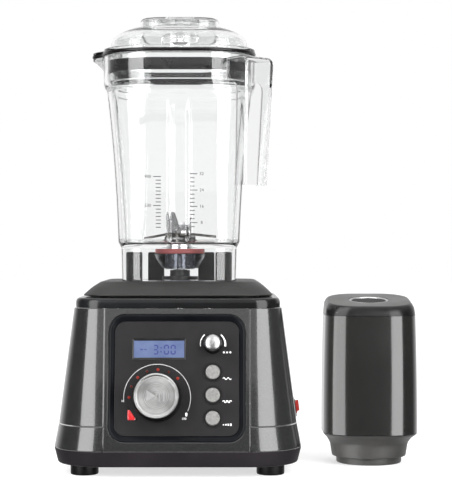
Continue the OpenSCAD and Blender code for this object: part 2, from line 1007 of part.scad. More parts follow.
module mode_knob_cap() color("#d2d2d0") {
    at_panel() {
        translate([button_u, mode_v, mode_foot + mode_h])
            rotate_extrude()
                polygon(concat(
                    [[0, 0], [mode_top_r - 0.2, 0]],
                    [for (i = [1 : 5]) let (a = 15 * i)
                        [(mode_top_r - 0.2) * cos(a), 1.2 + (mode_cap_h - 1.2) * sin(a)]],
                    [[0, mode_cap_h]]));
    }
}

stem_r = 3;

module press_button(i) {
    at_panel() {
        translate([button_at(i).x, button_at(i).y, 0]) {
            rotate_extrude()
                polygon([
                    [0, panel_rear - 3],
                    [button_d / 2, panel_rear - 3],
                    [button_d / 2, panel_face + button_proud - 0.5],
                    [button_d / 2 - 0.5, panel_face + button_proud],
                    [0, panel_face + button_proud]]);
            translate([0, 0, board_face + 2.4])
                cylinder(r = stem_r, h = panel_rear - 2.5 - board_face - 2.4);
        }
    }
}

module blend_button() color("#c4c3bf")
    press_button(0);

module pulse_button() color("#c4c3bf")
    press_button(1);

module program_button() color("#c4c3bf")
    press_button(2);

// Housing of the rocker switch, let into the right cover
module switch_housing() color("#141416") {
    at_switch() {
        difference() {
            union() {
                translate([0, 0, 0.7])
                    cube([switch_body.x + 2.4, switch_body.y + 2.4, 1.2], center = true);
                translate([0, 0, 0.6 - switch_depth / 2])
                    cube([switch_body.x, switch_body.y, switch_depth], center = true);
            }
            translate([0, 0, 5])
                cube([switch_pocket.x, switch_pocket.y, 2 * switch_depth + 6], center = true);
            translate([0, 0, rocker_pivot])
                rotate([0, 90, 0])
                    cylinder(r = pin_r + run_fit, h = switch_body.x + 4, center = true);
        }
    }
}

rocker_end = 4;

// Rocker on its two pins, tipped to one side
module power_rocker() color("#a5161a") {
    at_switch() {
        translate([0, 0, rocker_pivot])
            rotate([rocker_tilt, 0, 0]) {
                rotate([90, 0, 90])
                    translate([0, 0, -rocker_w / 2])
                        linear_extrude(rocker_w)
                            polygon([
                                [-rocker_l / 2, rocker_end - rocker_pivot],
                                [-rocker_l / 2, 1.5],
                                [-4, -2.6],
                                [4, -2.6],
                                [rocker_l / 2, 1.5],
                                [rocker_l / 2, rocker_end - rocker_pivot],
                                [0, rocker_end - rocker_pivot - 2.6]]);
                rotate([0, 90, 0])
                    cylinder(r = pin_r, h = switch_body.x - 0.6, center = true);
            }
    }
}

// Base: motor

slot_n = 12;

module motor_stator() color("#77797b") {
    at_blender() {
        translate([0, 0, stator_z]) {
            difference() {
                ring(motor_r, bore_r, stator_h);
                for (i = [0 : slot_n - 1]) {
                    rotate([0, 0, i * 360 / slot_n])
                        translate([motor_r - 8, 0, -past])
                            cylinder(r = 3.2, h = stator_h + 2 * past);
                }
            }
        }
    }
}

coil_h = 7;

module field_coils() color("#a5622c") {
    at_blender() {
        translate([0, 0, stator_top + rest_fit])
            ring(motor_r - 3, bore_r + 3, coil_h);
        translate([0, 0, stator_z - rest_fit - coil_h])
            ring(motor_r - 3, bore_r + 3, coil_h);
    }
}

bracket_post = 42;
bracket_r = bracket_in + bracket_wall;

// End bracket under the deck, with the upper bearing
module upper_bracket() color("#9a9c9e") {
    at_blender() {
        difference() {
            union() {
                translate([0, 0, upper_z])
                    cylinder(r = bracket_r, h = bracket_h);
                translate([0, 0, stator_top - 12])
                    cylinder(r = bracket_r, h = upper_z - stator_top + 13);
                for (i = [0 : 3]) {
                    rotate([0, 0, 45 + 90 * i])
                        translate([bracket_post, 0, upper_z])
                            cylinder(r = 5, h = deck_under - rest_fit - upper_z);
                }
            }
            translate([0, 0, stator_top - 13])
                cylinder(r = bracket_in, h = upper_z - stator_top + 13);
            translate([0, 0, upper_z - past])
                cylinder(r = bearing_r + seat_fit, h = bracket_h + 2 * past);
            for (i = [0 : 5]) {
                rotate([0, 0, 60 * i])
                    translate([28, 0, upper_z - past])
                        cylinder(r = 7, h = bracket_h + 2 * past);
            }
        }
    }
}

// End bracket below the stator, with the lower bearing
module lower_bracket() color("#9a9c9e") {
    at_blender() {
        difference() {
            translate([0, 0, lower_z])
                cylinder(r = bracket_r, h = stator_z + 12 - lower_z);
            translate([0, 0, lower_z + bracket_h])
                cylinder(r = bracket_in, h = far);
            translate([0, 0, lower_z - past])
                cylinder(r = bearing_r + seat_fit, h = bracket_h + 2 * past);
            for (i = [0 : 5]) {
                rotate([0, 0, 60 * i])
                    translate([33, 0, lower_z - past])
                        cylinder(r = 9, h = bracket_h + 2 * past);
            }
        }
    }
}

module shaft_bearings() color("#c0c3c6") {
    at_blender() {
        for (z = [upper_z - 1.5, lower_z - 1.5]) {
            translate([0, 0, z])
                ring(bearing_r, shaft_d / 2 + run_fit, bearing_h);
        }
    }
}

commutator_r = 14;
brush_h = 8;
brush_w = 9;

// Two holders that carry the brushes to the commutator
module brush_holders() color("#5a4a3a") {
    at_blender() {
        for (s = [0, 180]) {
            rotate([0, 0, s])
                translate([commutator_r + 0.4, -brush_w / 2, lower_z + bracket_h + rest_fit])
                    cube([bracket_in - commutator_r - 1.6, brush_w, brush_h]);
        }
    }
}

shaft_top = socket_z + 5;

module motor_shaft() color("#b5b7ba") {
    at_blender() {
        translate([0, 0, shaft_z])
            cylinder(d = shaft_d, h = shaft_top - shaft_z);
    }
}

module armature() color("#6e5a4a") {
    at_blender() {
        difference() {
            union() {
                translate([0, 0, stator_z + 1])
                    cylinder(r = bore_r - air_gap, h = stator_h - 2);
                translate([0, 0, lower_z + bracket_h + 2])
                    cylinder(r = commutator_r, h = stator_z - lower_z - bracket_h);
            }
            translate([0, 0, lower_z])
                cylinder(d = shaft_d + 2 * seat_fit, h = far);
        }
    }
}

fan_r = motor_r - 6;
fan_z = shaft_z + 3;

// Fan that draws air through the pan
module cooling_fan() color("#d9d6c8") {
    at_blender() {
        translate([0, 0, fan_z]) {
            difference() {
                union() {
                    cylinder(r = 10, h = fan_h);
                    cylinder(r = fan_r, h = 2);
                    for (i = [0 : fan_n - 1]) {
                        rotate([0, 0, i * 360 / fan_n])
                            translate([7.5, -1, 1])
                                rotate([0, 0, 12])
                                    cube([fan_r - 11.5, 2, fan_h - 1.6]);
                    }
                }
                translate([0, 0, -past])
                    cylinder(d = shaft_d + 2 * seat_fit, h = fan_h + 2 * past);
            }
        }
    }
}

module spline(grow) {
    circle(spline_r + grow);
    for (i = [0 : spline_n - 1]) {
        rotate(i * 360 / spline_n)
            translate([spline_r + spline_tooth.x / 2 - 1, 0])
                square([spline_tooth.x + 2 * grow, spline_tooth.y + 2 * grow], center = true);
    }
}

// Splined socket on the motor shaft that drives the blades
module drive_socket() color("#1a1a1c") {
    at_blender() {
        difference() {
            union() {
                translate([0, 0, socket_z])
                    cylinder(d = socket_d, h = socket_shelf - socket_z);
                translate([0, 0, socket_z])
                    cylinder(d = socket_crown_d, h = socket_top - socket_z);
            }
            translate([0, 0, shaft_top])
                linear_extrude(far)
                    spline(spline_gap);
            translate([0, 0, socket_z - past])
                cylinder(d = shaft_d + 2 * seat_fit, h = shaft_top - socket_z + past + 0.1);
        }
    }
}

// Jar

flare_h = 7;

function jar_half(share) = jar_w / 2 + (jar_top_w - jar_w) / 2 * (0.45 * share + 0.55 * share * share);
function jar_round(share) = jar_corner + (top_corner - jar_corner) * share;
function jar_at(share) = floor_top + 2 + (collar_z - flare_h - floor_top - 2) * share;

function jar_outside(share) = at_z(jar_plan(jar_half(share), jar_round(share)), jar_at(share));
function jar_inside(share) =
    at_z(jar_plan(jar_half(share) - jar_wall, jar_round(share) - jar_wall, 0, rib_depth), jar_at(share));

collar_half = collar_w / 2;
collar_in = collar_half - jar_wall;
collar_in_corner = collar_corner - jar_wall;
spout_z = rim_z - 17;
spout_bend = rim_z - 8;

// Clear jar: up the outside from the skirt to the spout, then down the inside
module jar() color([0.9, 0.92, 0.93, 0.35]) {
    at_blender() {
        difference() {
            loft([
                at_z(jar_plan(skirt_half - skirt_wall + 0.4, jar_corner - 5), floor_under),
                at_z(jar_plan(skirt_half - skirt_wall, jar_corner - 5.5), jar_z),
                at_z(jar_plan(skirt_half - 1, jar_corner - 2.5), jar_z),
                at_z(jar_plan(skirt_half, jar_corner - 1.5), floor_under + 1),
                at_z(jar_plan(jar_w / 2 - 0.5, jar_corner), floor_under + 3),
                jar_outside(0),
                jar_outside(0.25),
                jar_outside(0.5),
                jar_outside(0.75),
                jar_outside(1),
                at_z(jar_plan(collar_half - 1.2, collar_corner - 1), collar_z - 1.5),
                at_z(jar_plan(collar_half - 0.4, collar_corner), collar_z + 3),
                at_z(jar_plan(collar_half - 0.2, collar_corner), spout_z),
                at_z(jar_plan(collar_half, collar_corner, spout * 0.45), spout_bend),
                at_z(jar_plan(collar_half, collar_corner, spout), rim_z - 2),
                at_z(jar_plan(collar_half - 0.6, collar_corner - 0.6, spout), rim_z),
                at_z(jar_plan(collar_in, collar_in_corner, spout), rim_z),
                at_z(jar_plan(collar_in, collar_in_corner, spout * 0.45), spout_bend + 1),
                at_z(jar_plan(collar_in, collar_in_corner), spout_z + 1),
                at_z(jar_plan(collar_in - 0.4, collar_in_corner), collar_z + 2),
                at_z(jar_plan(jar_top_w / 2 - jar_wall, top_corner - jar_wall), collar_z - flare_h + 1),
                jar_inside(0.75),
                jar_inside(0.5),
                jar_inside(0.25),
                at_z(jar_plan(jar_w / 2 - jar_wall - 0.6, jar_corner - jar_wall), floor_top + 7),
                at_z(jar_plan(jar_w / 2 - jar_wall - 3, jar_corner - jar_wall - 2), floor_top + 1.4),
                at_z(jar_plan(jar_w / 2 - jar_wall - 7, jar_corner - jar_wall - 5), floor_top)]);
            translate([0, 0, floor_under - past])
                cylinder(d = floor_hole_d, h = jar_floor + 2 * past);
        }
    }
}

handle_top = rim_z - 6;
handle_z = handle_top - handle_l;
handle_turn = -45;
handle_web = 24;
grip_lean = 5.4;
grip_depth = 15;
corner_centre = (collar_half - collar_corner) * sqrt(2);
root_r = corner_centre + collar_corner;

function arc(cx, cy, r, from, to, steps) =
    [for (i = [0 : steps]) let (a = from + (to - from) * i / steps) [cx + r * cos(a), cy + r * sin(a)]];

// Side view of the handle: x away from the jar axis, y up
handle_profile = concat(
    [[root_r - 20, handle_top + 1]],
    arc(handle_reach - 7, handle_top - 7, 7, 84, 0, 5),
    [[handle_reach - grip_lean, handle_z + 1.5], [handle_reach - grip_lean - 1.5, handle_z]],
    [[handle_reach - grip_lean - grip_depth + 2, handle_z]],
    arc(handle_reach - grip_depth - 10, handle_top - handle_web - 11, 10, 0, 80, 5),
    [[root_r - 20, handle_top - handle_web]]);

// Hollow of the handle, open towards the jar and below
handle_hollow = [
    [0, handle_top - handle_wall],
    [handle_reach - handle_wall - 4, handle_top - handle_wall],
    [handle_reach - handle_wall, handle_top - handle_wall - 4],
    [handle_reach - grip_lean - handle_wall, handle_z - past],
    [0, handle_z - past]];

// Front view of the handle: it narrows downwards
module handle_front(inset) {
    polygon([
        [-handle_foot_w / 2 + inset, handle_z - 2 * past],
        [handle_foot_w / 2 - inset, handle_z - 2 * past],
        [handle_w / 2 - inset, handle_top + 2 * past],
        [-handle_w / 2 + inset, handle_top + 2 * past]]);
}

// Side view and front view of the handle, run through each other
module handle_block(side, inset) {
    intersection() {
        rotate([90, 0, 0])
            linear_extrude(2 * handle_w, center = true)
                polygon(side);
        rotate([90, 0, 90])
            linear_extrude(far)
                handle_front(inset);
    }
}

// Hanging handle on the front right corner of the collar, with a hollow grip
module jar_handle() color([0.9, 0.92, 0.93, 0.35]) {
    at_blender() {
        rotate([0, 0, handle_turn]) {
            difference() {
                handle_block(handle_profile, 0);
                handle_block(handle_hollow, handle_wall);
                translate([corner_centre, 0, 0])
                    cylinder(r = collar_corner + seat_fit, h = 2 * far);
            }
        }
    }
}

// Blades and their bearing

bearing_neck_r = floor_hole_d / 2 - slide_fit;

// Bearing that sits in the floor of the jar
module blade_bearing() color("#a9abad") {
    at_blender() {
        difference() {
            union() {
                translate([0, 0, floor_top])
                    cylinder(r1 = bearing_flange_r, r2 = bearing_flange_r - 3, h = bearing_flange_h);
                translate([0, 0, floor_under - 1])
                    cylinder(r = bearing_neck_r, h = jar_floor + 1.5);
                translate([0, 0, nut_z + 2])
                    cylinder(r = bearing_body_r, h = floor_under - nut_z - 2);
            }
            translate([0, 0, nut_z])
                cylinder(d = blade_d + 2 * run_fit, h = far);
        }
    }
}

// Red gasket under the floor of the jar
module seat_gasket() color("#b3272a") {
    at_blender() {
        translate([0, 0, gasket_z])
            ring(shroud_d / 2 - 1, nut_d / 2 + slide_fit, gasket_h);
    }
}

shroud_z = nut_z + 1;
shroud_top = gasket_z - seat_fit;
shroud_wall = 2.5;
shroud_foot_r = nut_d / 2 + 0.7 + shroud_wall;

// Clear cone round the nut
module bearing_shroud() color([0.85, 0.86, 0.88, 0.5]) {
    at_blender() {
        rotate_extrude()
            polygon([
                [shroud_foot_r - shroud_wall, shroud_z],
                [shroud_foot_r, shroud_z],
                [shroud_d / 2 - 1.6, shroud_top - 5],
                [shroud_d / 2, shroud_top],
                [shroud_d / 2 - shroud_wall, shroud_top],
                [shroud_d / 2 - 1.6 - shroud_wall, shroud_top - 5]]);
    }
}

flute_n = 12;

// Fluted nut that holds the bearing from below
module retainer_nut() color("#9a9da1") {
    at_blender() {
        translate([0, 0, nut_z]) {
            difference() {
                ring(nut_d / 2, bearing_body_r + seat_fit, nut_h);
                for (i = [0 : flute_n - 1]) {
                    rotate([0, 0, i * 360 / flute_n])
                        translate([nut_d / 2 + 0.8, 0, -past])
                            cylinder(r = 2.2, h = nut_h - 3);
                }
            }
        }
    }
}

// Spindle of the blades with the spline that the socket drives
module blade_shaft() color("#b5b7ba") {
    at_blender() {
        translate([0, 0, blade_foot])
            linear_extrude(socket_top + 0.5 - blade_foot)
                spline(0);
        translate([0, 0, socket_top])
            cylinder(d = blade_d, h = spindle_end - socket_top);
    }
}

hub_r = 9;

// One wing: a flat root that bends into a tapering tip
module wing(turn_to, bend_at, reach, root_w, tip_r, bend) {
    end = (reach + past) * [cos(bend), sin(bend)] + [bend_at, 0];
    rotate([0, 0, turn_to]) {
        difference() {
            translate([0, root_w / 2, 0])
                rotate([90, 0, 0])
                    linear_extrude(root_w)
                        polygon([[0, 0], [bend_at, 0], end, end + blade_t * [-sin(bend), cos(bend)],
                            [bend_at - blade_t * tan(bend / 2), blade_t], [0, blade_t]]);
            translate([bend_at, 0, 0])
                rotate([0, -bend, 0])
                    translate([0, 0, -past])
                        linear_extrude(blade_t + 2 * past)
                            difference() {
                                translate([0, -root_w])
                                    square([reach + 3 * past, 2 * root_w]);
                                polygon(concat(
                                    [[-past, -root_w / 2 - 0.3], [reach * 0.72, -root_w / 2 + 0.6]],
                                    arc(reach - tip_r, 0, tip_r, -50, 50, 4),
                                    [[reach * 0.5, root_w / 2 - 0.4], [-past, root_w / 2 + 0.3]]));
                            }
        }
    }
}

// Plate of two wings on one hub, at its level in the stack
module blade_plate(level) {
    at_blender() {
        translate([0, 0, hub_z + level * blade_t]) {
            difference() {
                union() {
                    cylinder(r = hub_r, h = blade_t);
                    children();
                }
                translate([0, 0, -past])
                    cylinder(d = blade_d + 2 * seat_fit, h = blade_t + 2 * past);
            }
        }
    }
}

down_bend_at = bearing_flange_r + 1;
flat_bend_at = hub_r + 5;
up_bend_at = hub_r + 3;
up_bend = 74;
up_reach = (blade_rise - bearing_flange_h - 0.5 - 2 * blade_t) / sin(up_bend);

module blade_down() color("#a4a7ab") {
    blade_plate(0) {
        wing(120, down_bend_at, blade_w, blade_w - 1, blade_w / 4, -11);
        wing(300, down_bend_at, blade_w, blade_w - 1, blade_w / 4, -11);
    }
}

module blade_flat() color("#aeb1b5") {
    blade_plate(1) {
        wing(4, flat_bend_at, blade_reach - flat_bend_at, blade_w, blade_w / 4, -5);
        wing(184, flat_bend_at, blade_reach - flat_bend_at, blade_w, blade_w / 4, -9);
    }
}

module blade_up() color("#b6b9bd") {
    blade_plate(2) {
        wing(242, up_bend_at, up_reach, blade_w, blade_w / 3, up_bend);
        wing(62, up_bend_at, up_reach * 0.82, blade_w, blade_w / 3, up_bend);
    }
}

module blade_nut() color("#c2c5c8") {
    at_blender() {
        translate([0, 0, hub_top + seat_fit]) {
            difference() {
                union() {
                    cylinder(r = 7.6, h = 4, $fn = 6);
                    translate([0, 0, 3.5])
                        cylinder(r1 = 6.4, r2 = 4, h = 3);
                }
                translate([0, 0, -past])
                    cylinder(d = blade_d + 2 * seat_fit, h = spindle_end - hub_top + past + 0.1);
            }
        }
    }
}

// Lid

flange_half = collar_half;
flange_corner = collar_corner;
dome_half = dome_w / 2;
dome_rise = dome_top - dome_z;
dome_in = dome_half - cap_d / 2 - 1;

// Shape of the dome: shares of its height and of its draw towards the cap
dome_shape = [[0, 0], [0.3, 0.01], [0.5, 0.1], [0.7, 0.33], [0.87, 0.65], [1, 1]];

function dome_ring(k, inset) =
    let (half = dome_half - dome_in * dome_shape[k].y - inset)
    at_z(jar_plan(half, dome_corner * half / dome_half), dome_z + (dome_rise - inset) * dome_shape[k].x);

port_rib = 2.5;
port_rib_r = cap_d / 2 - 2;
port_rib_h = 9;

// Clear lid: down the plug from inside, round the flange and up over the dome
module lid() color([0.92, 0.93, 0.94, 0.35]) {
    at_blender() {
        difference() {
            union() {
                loft(concat(
                    [for (k = [5 : -1 : 1]) dome_ring(k, lid_wall)],
                    [at_z(jar_plan(plug_half - lid_wall, plug_corner - lid_wall), flange_z),
                    at_z(jar_plan(plug_half - lid_wall - 0.5, plug_corner - lid_wall), plug_z),
                    at_z(jar_plan(plug_half - 0.5, plug_corner), plug_z),
                    at_z(jar_plan(plug_half, plug_corner), flange_z),
                    at_z(jar_plan(flange_half, flange_corner, spout), flange_z),
                    at_z(jar_plan(flange_half, flange_corner, spout), dome_z - 0.8),
                    at_z(jar_plan(flange_half - 0.8, flange_corner - 0.8, spout), dome_z)],
                    [for (k = [0 : 5]) dome_ring(k, 0)]));
                translate([0, 0, dome_top - lid_wall / 2 - port_rib_h])
                    ring(port_rib_r, port_rib_r - port_rib, port_rib_h);
            }
            translate([0, 0, port_z])
                cylinder(r = port_r + port_fit, h = far);
        }
    }
}

belt_z = seal_z - 18.6;
belt_top = belt_z + 12.4;
belt_out = plug_gap - 0.4;

function belt_ring(grow, z) = at_z(jar_plan(plug_half + grow, plug_corner + grow), z);

// Dark seal between the lid's flange and the rim of the jar, and the belt round the plug
module lid_seal() color("#15171c") {
    at_blender() {
        loft_loop([
            belt_ring(belt_out - 0.4, belt_z),
            belt_ring(belt_out, belt_z + 0.6),
            belt_ring(belt_out, belt_top - 0.6),
            belt_ring(belt_out - 0.4, belt_top),
            belt_ring(0.1, belt_top),
            belt_ring(0.1, belt_z)]);
        loft_loop([
            at_z(jar_plan(flange_half + 0.3, flange_corner + 0.3, spout), seal_z),
            at_z(jar_plan(flange_half + 0.8, flange_corner + 0.8, spout), seal_z + seal_h / 2),
            at_z(jar_plan(flange_half + 0.3, flange_corner + 0.3, spout), flange_z),
            belt_ring(0.3, flange_z),
            belt_ring(0.3, seal_z)]);
    }
}

cap_wall = 3;
cap_round = 3.4;

// Round cap that turns in the port of the dome, hollow below
module lid_cap() color([0.92, 0.93, 0.94, 0.45]) {
    at_blender() {
        difference() {
            rotate_extrude()
                polygon(concat(
                    [[valve_d / 4, port_z], [port_r, port_z], [port_r, cap_top - cap_wall]],
                    [[cap_d / 2 - cap_wall, cap_top - cap_wall], [cap_d / 2 - cap_wall, cap_z]],
                    [[cap_d / 2, cap_z]],
                    arc(cap_d / 2 - cap_round, cap_top - cap_round, cap_round, 0, 90, 5),
                    [[0, cap_top], [0, cap_top - cap_wall], [valve_d / 4, cap_top - cap_wall]]));
            translate([0, 0, port_z - past])
                cylinder(d = valve_d / 2, h = cap_top - cap_wall - port_z + past);
        }
    }
}

// Soft valve under the cap
module cap_valve() color("#b9bcc2") {
    at_blender() {
        translate([0, 0, port_z - seat_fit - 3])
            rotate_extrude()
                polygon([[0, 0], [3, 0], [valve_d / 2, 2], [valve_d / 2, 3], [0, 3]]);
        translate([0, 0, port_z - 1])
            cylinder(d = valve_d / 2 - 2 * seat_fit, h = 6);
    }
}

// Vacuum pump

function pump_shell_ring(share, inset) =
    let (half = pump_half + (pump_top_half - pump_half) * share * share)
    at_z(squircle(half - inset, pump_corner - 2 * share - inset), pump_shell_z + pump_shell_h * share);

module pump_shell() color("#3a3a39") {
    at_pump() {
        loft_loop(concat(
            [for (i = [0 : 4]) pump_shell_ring(i / 4, 0)],
            [for (i = [4 : -1 : 0]) pump_shell_ring(i / 4, pump_wall)]));
    }
}

function pump_top_ring(inset, rise) =
    let (slope = pump_rise / pump_top_w * min(1, 2.5 * rise))
    [for (p = squircle(pump_top_half - inset, pump_corner - 2 - 0.3 * inset))
        [p[0], p[1], pump_lid_z + pump_top_h * rise + slope * (p[1] + pump_top_half)]];

// Top of the pump, which slopes to the front, with the well of its button
module pump_top() color("#333332") {
    difference() {
        at_pump()
            loft([
                pump_top_ring(0, 0),
                pump_top_ring(0.4, 0.45),
                pump_top_ring(1.4, 0.72),
                pump_top_ring(2.8, 0.9),
                pump_top_ring(4.8, 1)]);
        at_pump_top()
            translate([0, 0, pump_pocket])
                cylinder(d = pump_button_d + 2 * slide_fit, h = far);
    }
}

module pump_button() color("#b9bab8") {
    tall = pump_button_z - pump_pocket - pump_button_push - rest_fit;
    at_pump_top() {
        translate([0, 0, pump_button_z - tall])
            rotate_extrude()
                polygon([
                    [0, 0],
                    [pump_button_d / 2, 0],
                    [pump_button_d / 2, tall - 0.9],
                    [pump_button_d / 2 - 0.6, tall],
                    [0, tall]]);
    }
}

function pump_collar_ring(half, r, share) = at_z(squircle(half, r), pump_collar_z + pump_collar_h * share);

collar_foot_half = pump_collar_d / 2;
suction_r = 5;

// Collar that tapers from the square shell to the round foot
module pump_collar() color("#474746") {
    at_pump() {
        difference() {
            loft([
                pump_collar_ring(collar_foot_half - 0.7, collar_foot_half - 0.7, 0),
                pump_collar_ring(collar_foot_half, collar_foot_half, 0.05),
                pump_collar_ring(collar_foot_half + 2, collar_foot_half + 2, 0.5),
                pump_collar_ring(collar_foot_half + 3.2, collar_foot_half + 2.6, 0.62),
                pump_collar_ring(pump_half - 4.2, pump_corner + 6, 0.8),
                pump_collar_ring(pump_half - 1.4, pump_corner + 2, 0.93),
                pump_collar_ring(pump_half - 0.1, pump_corner, 1)]);
            translate([0, 0, pump_collar_z - past])
                cylinder(r = suction_r, h = pump_collar_h + 2 * past);
        }
    }
}

pump_lip = 9;

// Rubber foot that seals on the cap of the lid
module pump_seal() color("#1d1d1d") {
    at_pump() {
        rotate_extrude()
            polygon([
                [pump_foot_d / 2 - pump_lip, 0],
                [pump_foot_d / 2 - 1.5, 0],
                [pump_foot_d / 2, 1.5],
                [pump_foot_d / 2, pump_foot_h],
                [pump_foot_d / 2 - pump_lip, pump_foot_h]]);
    }
}

head_z = pump_shell_z;

// Pump block with its motor on top
module pump_unit() color("#8b8e91") {
    at_pump() {
        translate([0, 0, head_z]) {
            difference() {
                linear_extrude(head_h)
                    rounded(1.26 * pump_half, 0.94 * pump_half, pump_half / 6);
                translate([0, 0, -past])
                    cylinder(r = suction_r, h = head_h - 6);
            }
            translate([0, 0, head_h - 1])
                cylinder(r = 17, h = pump_motor_h + 1);
        }
    }
}

cell_r = 9.2;

// Battery cells above the pump's motor
module pump_battery() color("#3c5f86") {
    at_pump() {
        for (s = [-1, 1]) {
            translate([s * (cell_r + 0.2), 0, head_z + head_h + pump_motor_h + rest_fit])
                cylinder(r = cell_r, h = pump_lid_z - head_z - head_h - pump_motor_h - 2 * rest_fit);
        }
    }
}

lower_housing();
left_cover();
right_cover();
rear_cover();
base_pan();
rubber_feet();
case_screws();
top_deck();
jar_pad();
panel_bezel();
control_panel();
lcd_module();
button_guides();
speed_leds();
start_lens();
control_board();
encoders();
switch_housing();
motor_stator();
field_coils();
upper_bracket();
lower_bracket();
shaft_bearings();
brush_holders();
cord_gland();
motor_shaft();
armature();
cooling_fan();
drive_socket();
speed_stem();
speed_knob();
speed_knob_cap();
mode_knob();
mode_knob_cap();
blend_button();
pulse_button();
program_button();
power_rocker();
jar();
jar_handle();
blade_bearing();
seat_gasket();
bearing_shroud();
retainer_nut();
blade_shaft();
blade_down();
blade_flat();
blade_up();
blade_nut();
lid();
lid_seal();
lid_cap();
cap_valve();
pump_shell();
pump_top();
pump_collar();
pump_seal();
pump_unit();
pump_battery();
pump_button();
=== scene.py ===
import json
import math

import bmesh
import bpy
import numpy as np
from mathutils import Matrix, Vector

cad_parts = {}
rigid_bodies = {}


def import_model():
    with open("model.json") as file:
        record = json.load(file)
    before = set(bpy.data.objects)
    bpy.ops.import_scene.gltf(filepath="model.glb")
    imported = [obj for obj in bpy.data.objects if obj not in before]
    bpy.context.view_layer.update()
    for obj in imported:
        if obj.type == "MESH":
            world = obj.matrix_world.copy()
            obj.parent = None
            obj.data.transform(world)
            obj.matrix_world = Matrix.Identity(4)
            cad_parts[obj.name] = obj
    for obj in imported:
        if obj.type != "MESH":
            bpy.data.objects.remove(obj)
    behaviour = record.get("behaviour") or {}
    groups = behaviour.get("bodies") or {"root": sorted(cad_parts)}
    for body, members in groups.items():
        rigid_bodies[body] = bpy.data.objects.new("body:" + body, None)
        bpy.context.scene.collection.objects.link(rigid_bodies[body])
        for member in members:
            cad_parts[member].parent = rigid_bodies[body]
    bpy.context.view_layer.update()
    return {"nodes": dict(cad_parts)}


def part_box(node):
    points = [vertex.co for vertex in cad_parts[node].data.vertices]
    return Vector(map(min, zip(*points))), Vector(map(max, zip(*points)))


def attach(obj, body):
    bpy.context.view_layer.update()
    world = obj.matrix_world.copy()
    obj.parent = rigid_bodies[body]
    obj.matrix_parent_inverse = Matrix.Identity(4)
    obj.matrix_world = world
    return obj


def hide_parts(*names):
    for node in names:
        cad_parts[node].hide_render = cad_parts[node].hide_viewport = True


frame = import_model()
nodes = frame["nodes"]


# Camera and light, in metres

cameraSet = dict(x=0.0485, distance=1.690, height=0.230, lens=118.2, sensor=36)
lightSet = dict(
    boxLeft=(43, 0.95, 47.0),  # turn in degrees, width, power
    boxRight=(43, 1.15, 58.0),
    away=1.45, tall=2.1, middle=0.37, aimY=-0.08, aimZ=0.2,
    topBox=((0.0, -0.3, 1.9), (0.0, 0.0, 0.1), 1.6, 1.2, 7.0),  # place, aim, width, height, power
    frontBox=((-0.05, -1.95, 1.05), (-0.05, 0.0, 0.15), 1.7, 0.9, 5.0))
worldSet = dict(sides=0.12, front=0.10, behind=1.0, above=1.15, through=0.5)


def middleOf(node):  # middle of a CAD node's box, in millimetres
    low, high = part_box(node)
    return np.array((low + high) / 2) * 1000


jarAxis = middleOf("drive_socket") * [1, 1, 0]
pumpAxis = middleOf("pump_seal") * [1, 1, 0]
jarX, jarY = jarAxis[0] / 1000, jarAxis[1] / 1000

cameraData = bpy.data.cameras.new("camera")
cameraData.lens = cameraSet["lens"]
cameraData.sensor_width = cameraSet["sensor"]
camera = bpy.data.objects.new("camera", cameraData)
camera.location = (jarX + cameraSet["x"], jarY - cameraSet["distance"], cameraSet["height"])
camera.rotation_euler = (math.pi / 2, 0, 0)
bpy.context.scene.collection.objects.link(camera)
bpy.context.scene.camera = camera
bpy.context.scene.view_settings.view_transform = "Standard"
bpy.context.scene.view_settings.look = "None"


def addLight(name, place, aim, width, height, power):  # soft box that faces a point
    data = bpy.data.lights.new(name, "AREA")
    data.shape, data.size, data.size_y, data.energy = "RECTANGLE", width, height, power
    lamp = bpy.data.objects.new(name, data)
    lamp.location = place
    away = np.array(place, float) - np.array(aim, float)
    tilt = math.acos(away[2] / np.linalg.norm(away))
    lamp.rotation_euler = (tilt, 0, math.atan2(away[1], away[0]) + math.pi / 2)
    bpy.context.scene.collection.objects.link(lamp)
    return lamp


sideBox = {}
for name, side in (("boxLeft", -1), ("boxRight", 1)):
    turn, width, power = lightSet[name]
    a, reach = math.radians(turn), lightSet["away"]
    aim = (jarX, lightSet["aimY"], lightSet["aimZ"])
    place = (jarX + side * reach * math.sin(a), aim[1] - reach * math.cos(a), lightSet["middle"])
    sideBox[name] = addLight(name, place, aim, width, lightSet["tall"], power)
for name in ("topBox", "frontBox"):
    addLight(name, *lightSet[name])


def makeWorld():
    # white behind and above, darker to the sides and in front, so that clear edges draw a line:
    # the largest of smooth steps along two axes
    w = worldSet
    world = bpy.data.worlds.new("studio")
    bpy.context.scene.world = world
    world.use_nodes = True
    tree = world.node_tree
    back = tree.nodes["Background"]
    where = tree.nodes.new("ShaderNodeTexCoord")
    split = tree.nodes.new("ShaderNodeSeparateXYZ")
    tree.links.new(where.outputs["Generated"], split.inputs[0])
    rays = tree.nodes.new("ShaderNodeLightPath")

    def ramp(source, *ends):  # smooth step from two ends of the source to two ends of the result
        node = tree.nodes.new("ShaderNodeMapRange")
        node.interpolation_type = "SMOOTHSTEP"
        for i, end in enumerate(ends):
            node.inputs[i + 1].default_value = end
        tree.links.new(source, node.inputs[0])
        return node.outputs[0]

    total = ramp(split.outputs["Y"], 0.30, 0.80, w["sides"], w["behind"])
    ahead = ramp(split.outputs["Y"], -0.9, -0.5, w["front"], w["sides"])
    above = ramp(split.outputs["Z"], 0.35, 0.85, 0.0, w["above"])
    through = ramp(rays.outputs["Is Transmission Ray"], 0, 1, 0, w["through"])
    for other in (ahead, above, through, rays.outputs["Is Camera Ray"]):
        larger = tree.nodes.new("ShaderNodeMath")
        larger.operation = "MAXIMUM"
        tree.links.new(total, larger.inputs[0])
        tree.links.new(other, larger.inputs[1])
        total = larger.outputs[0]
    tree.links.new(total, back.inputs["Strength"])
    back.inputs["Color"].default_value = (1, 1, 1, 1)


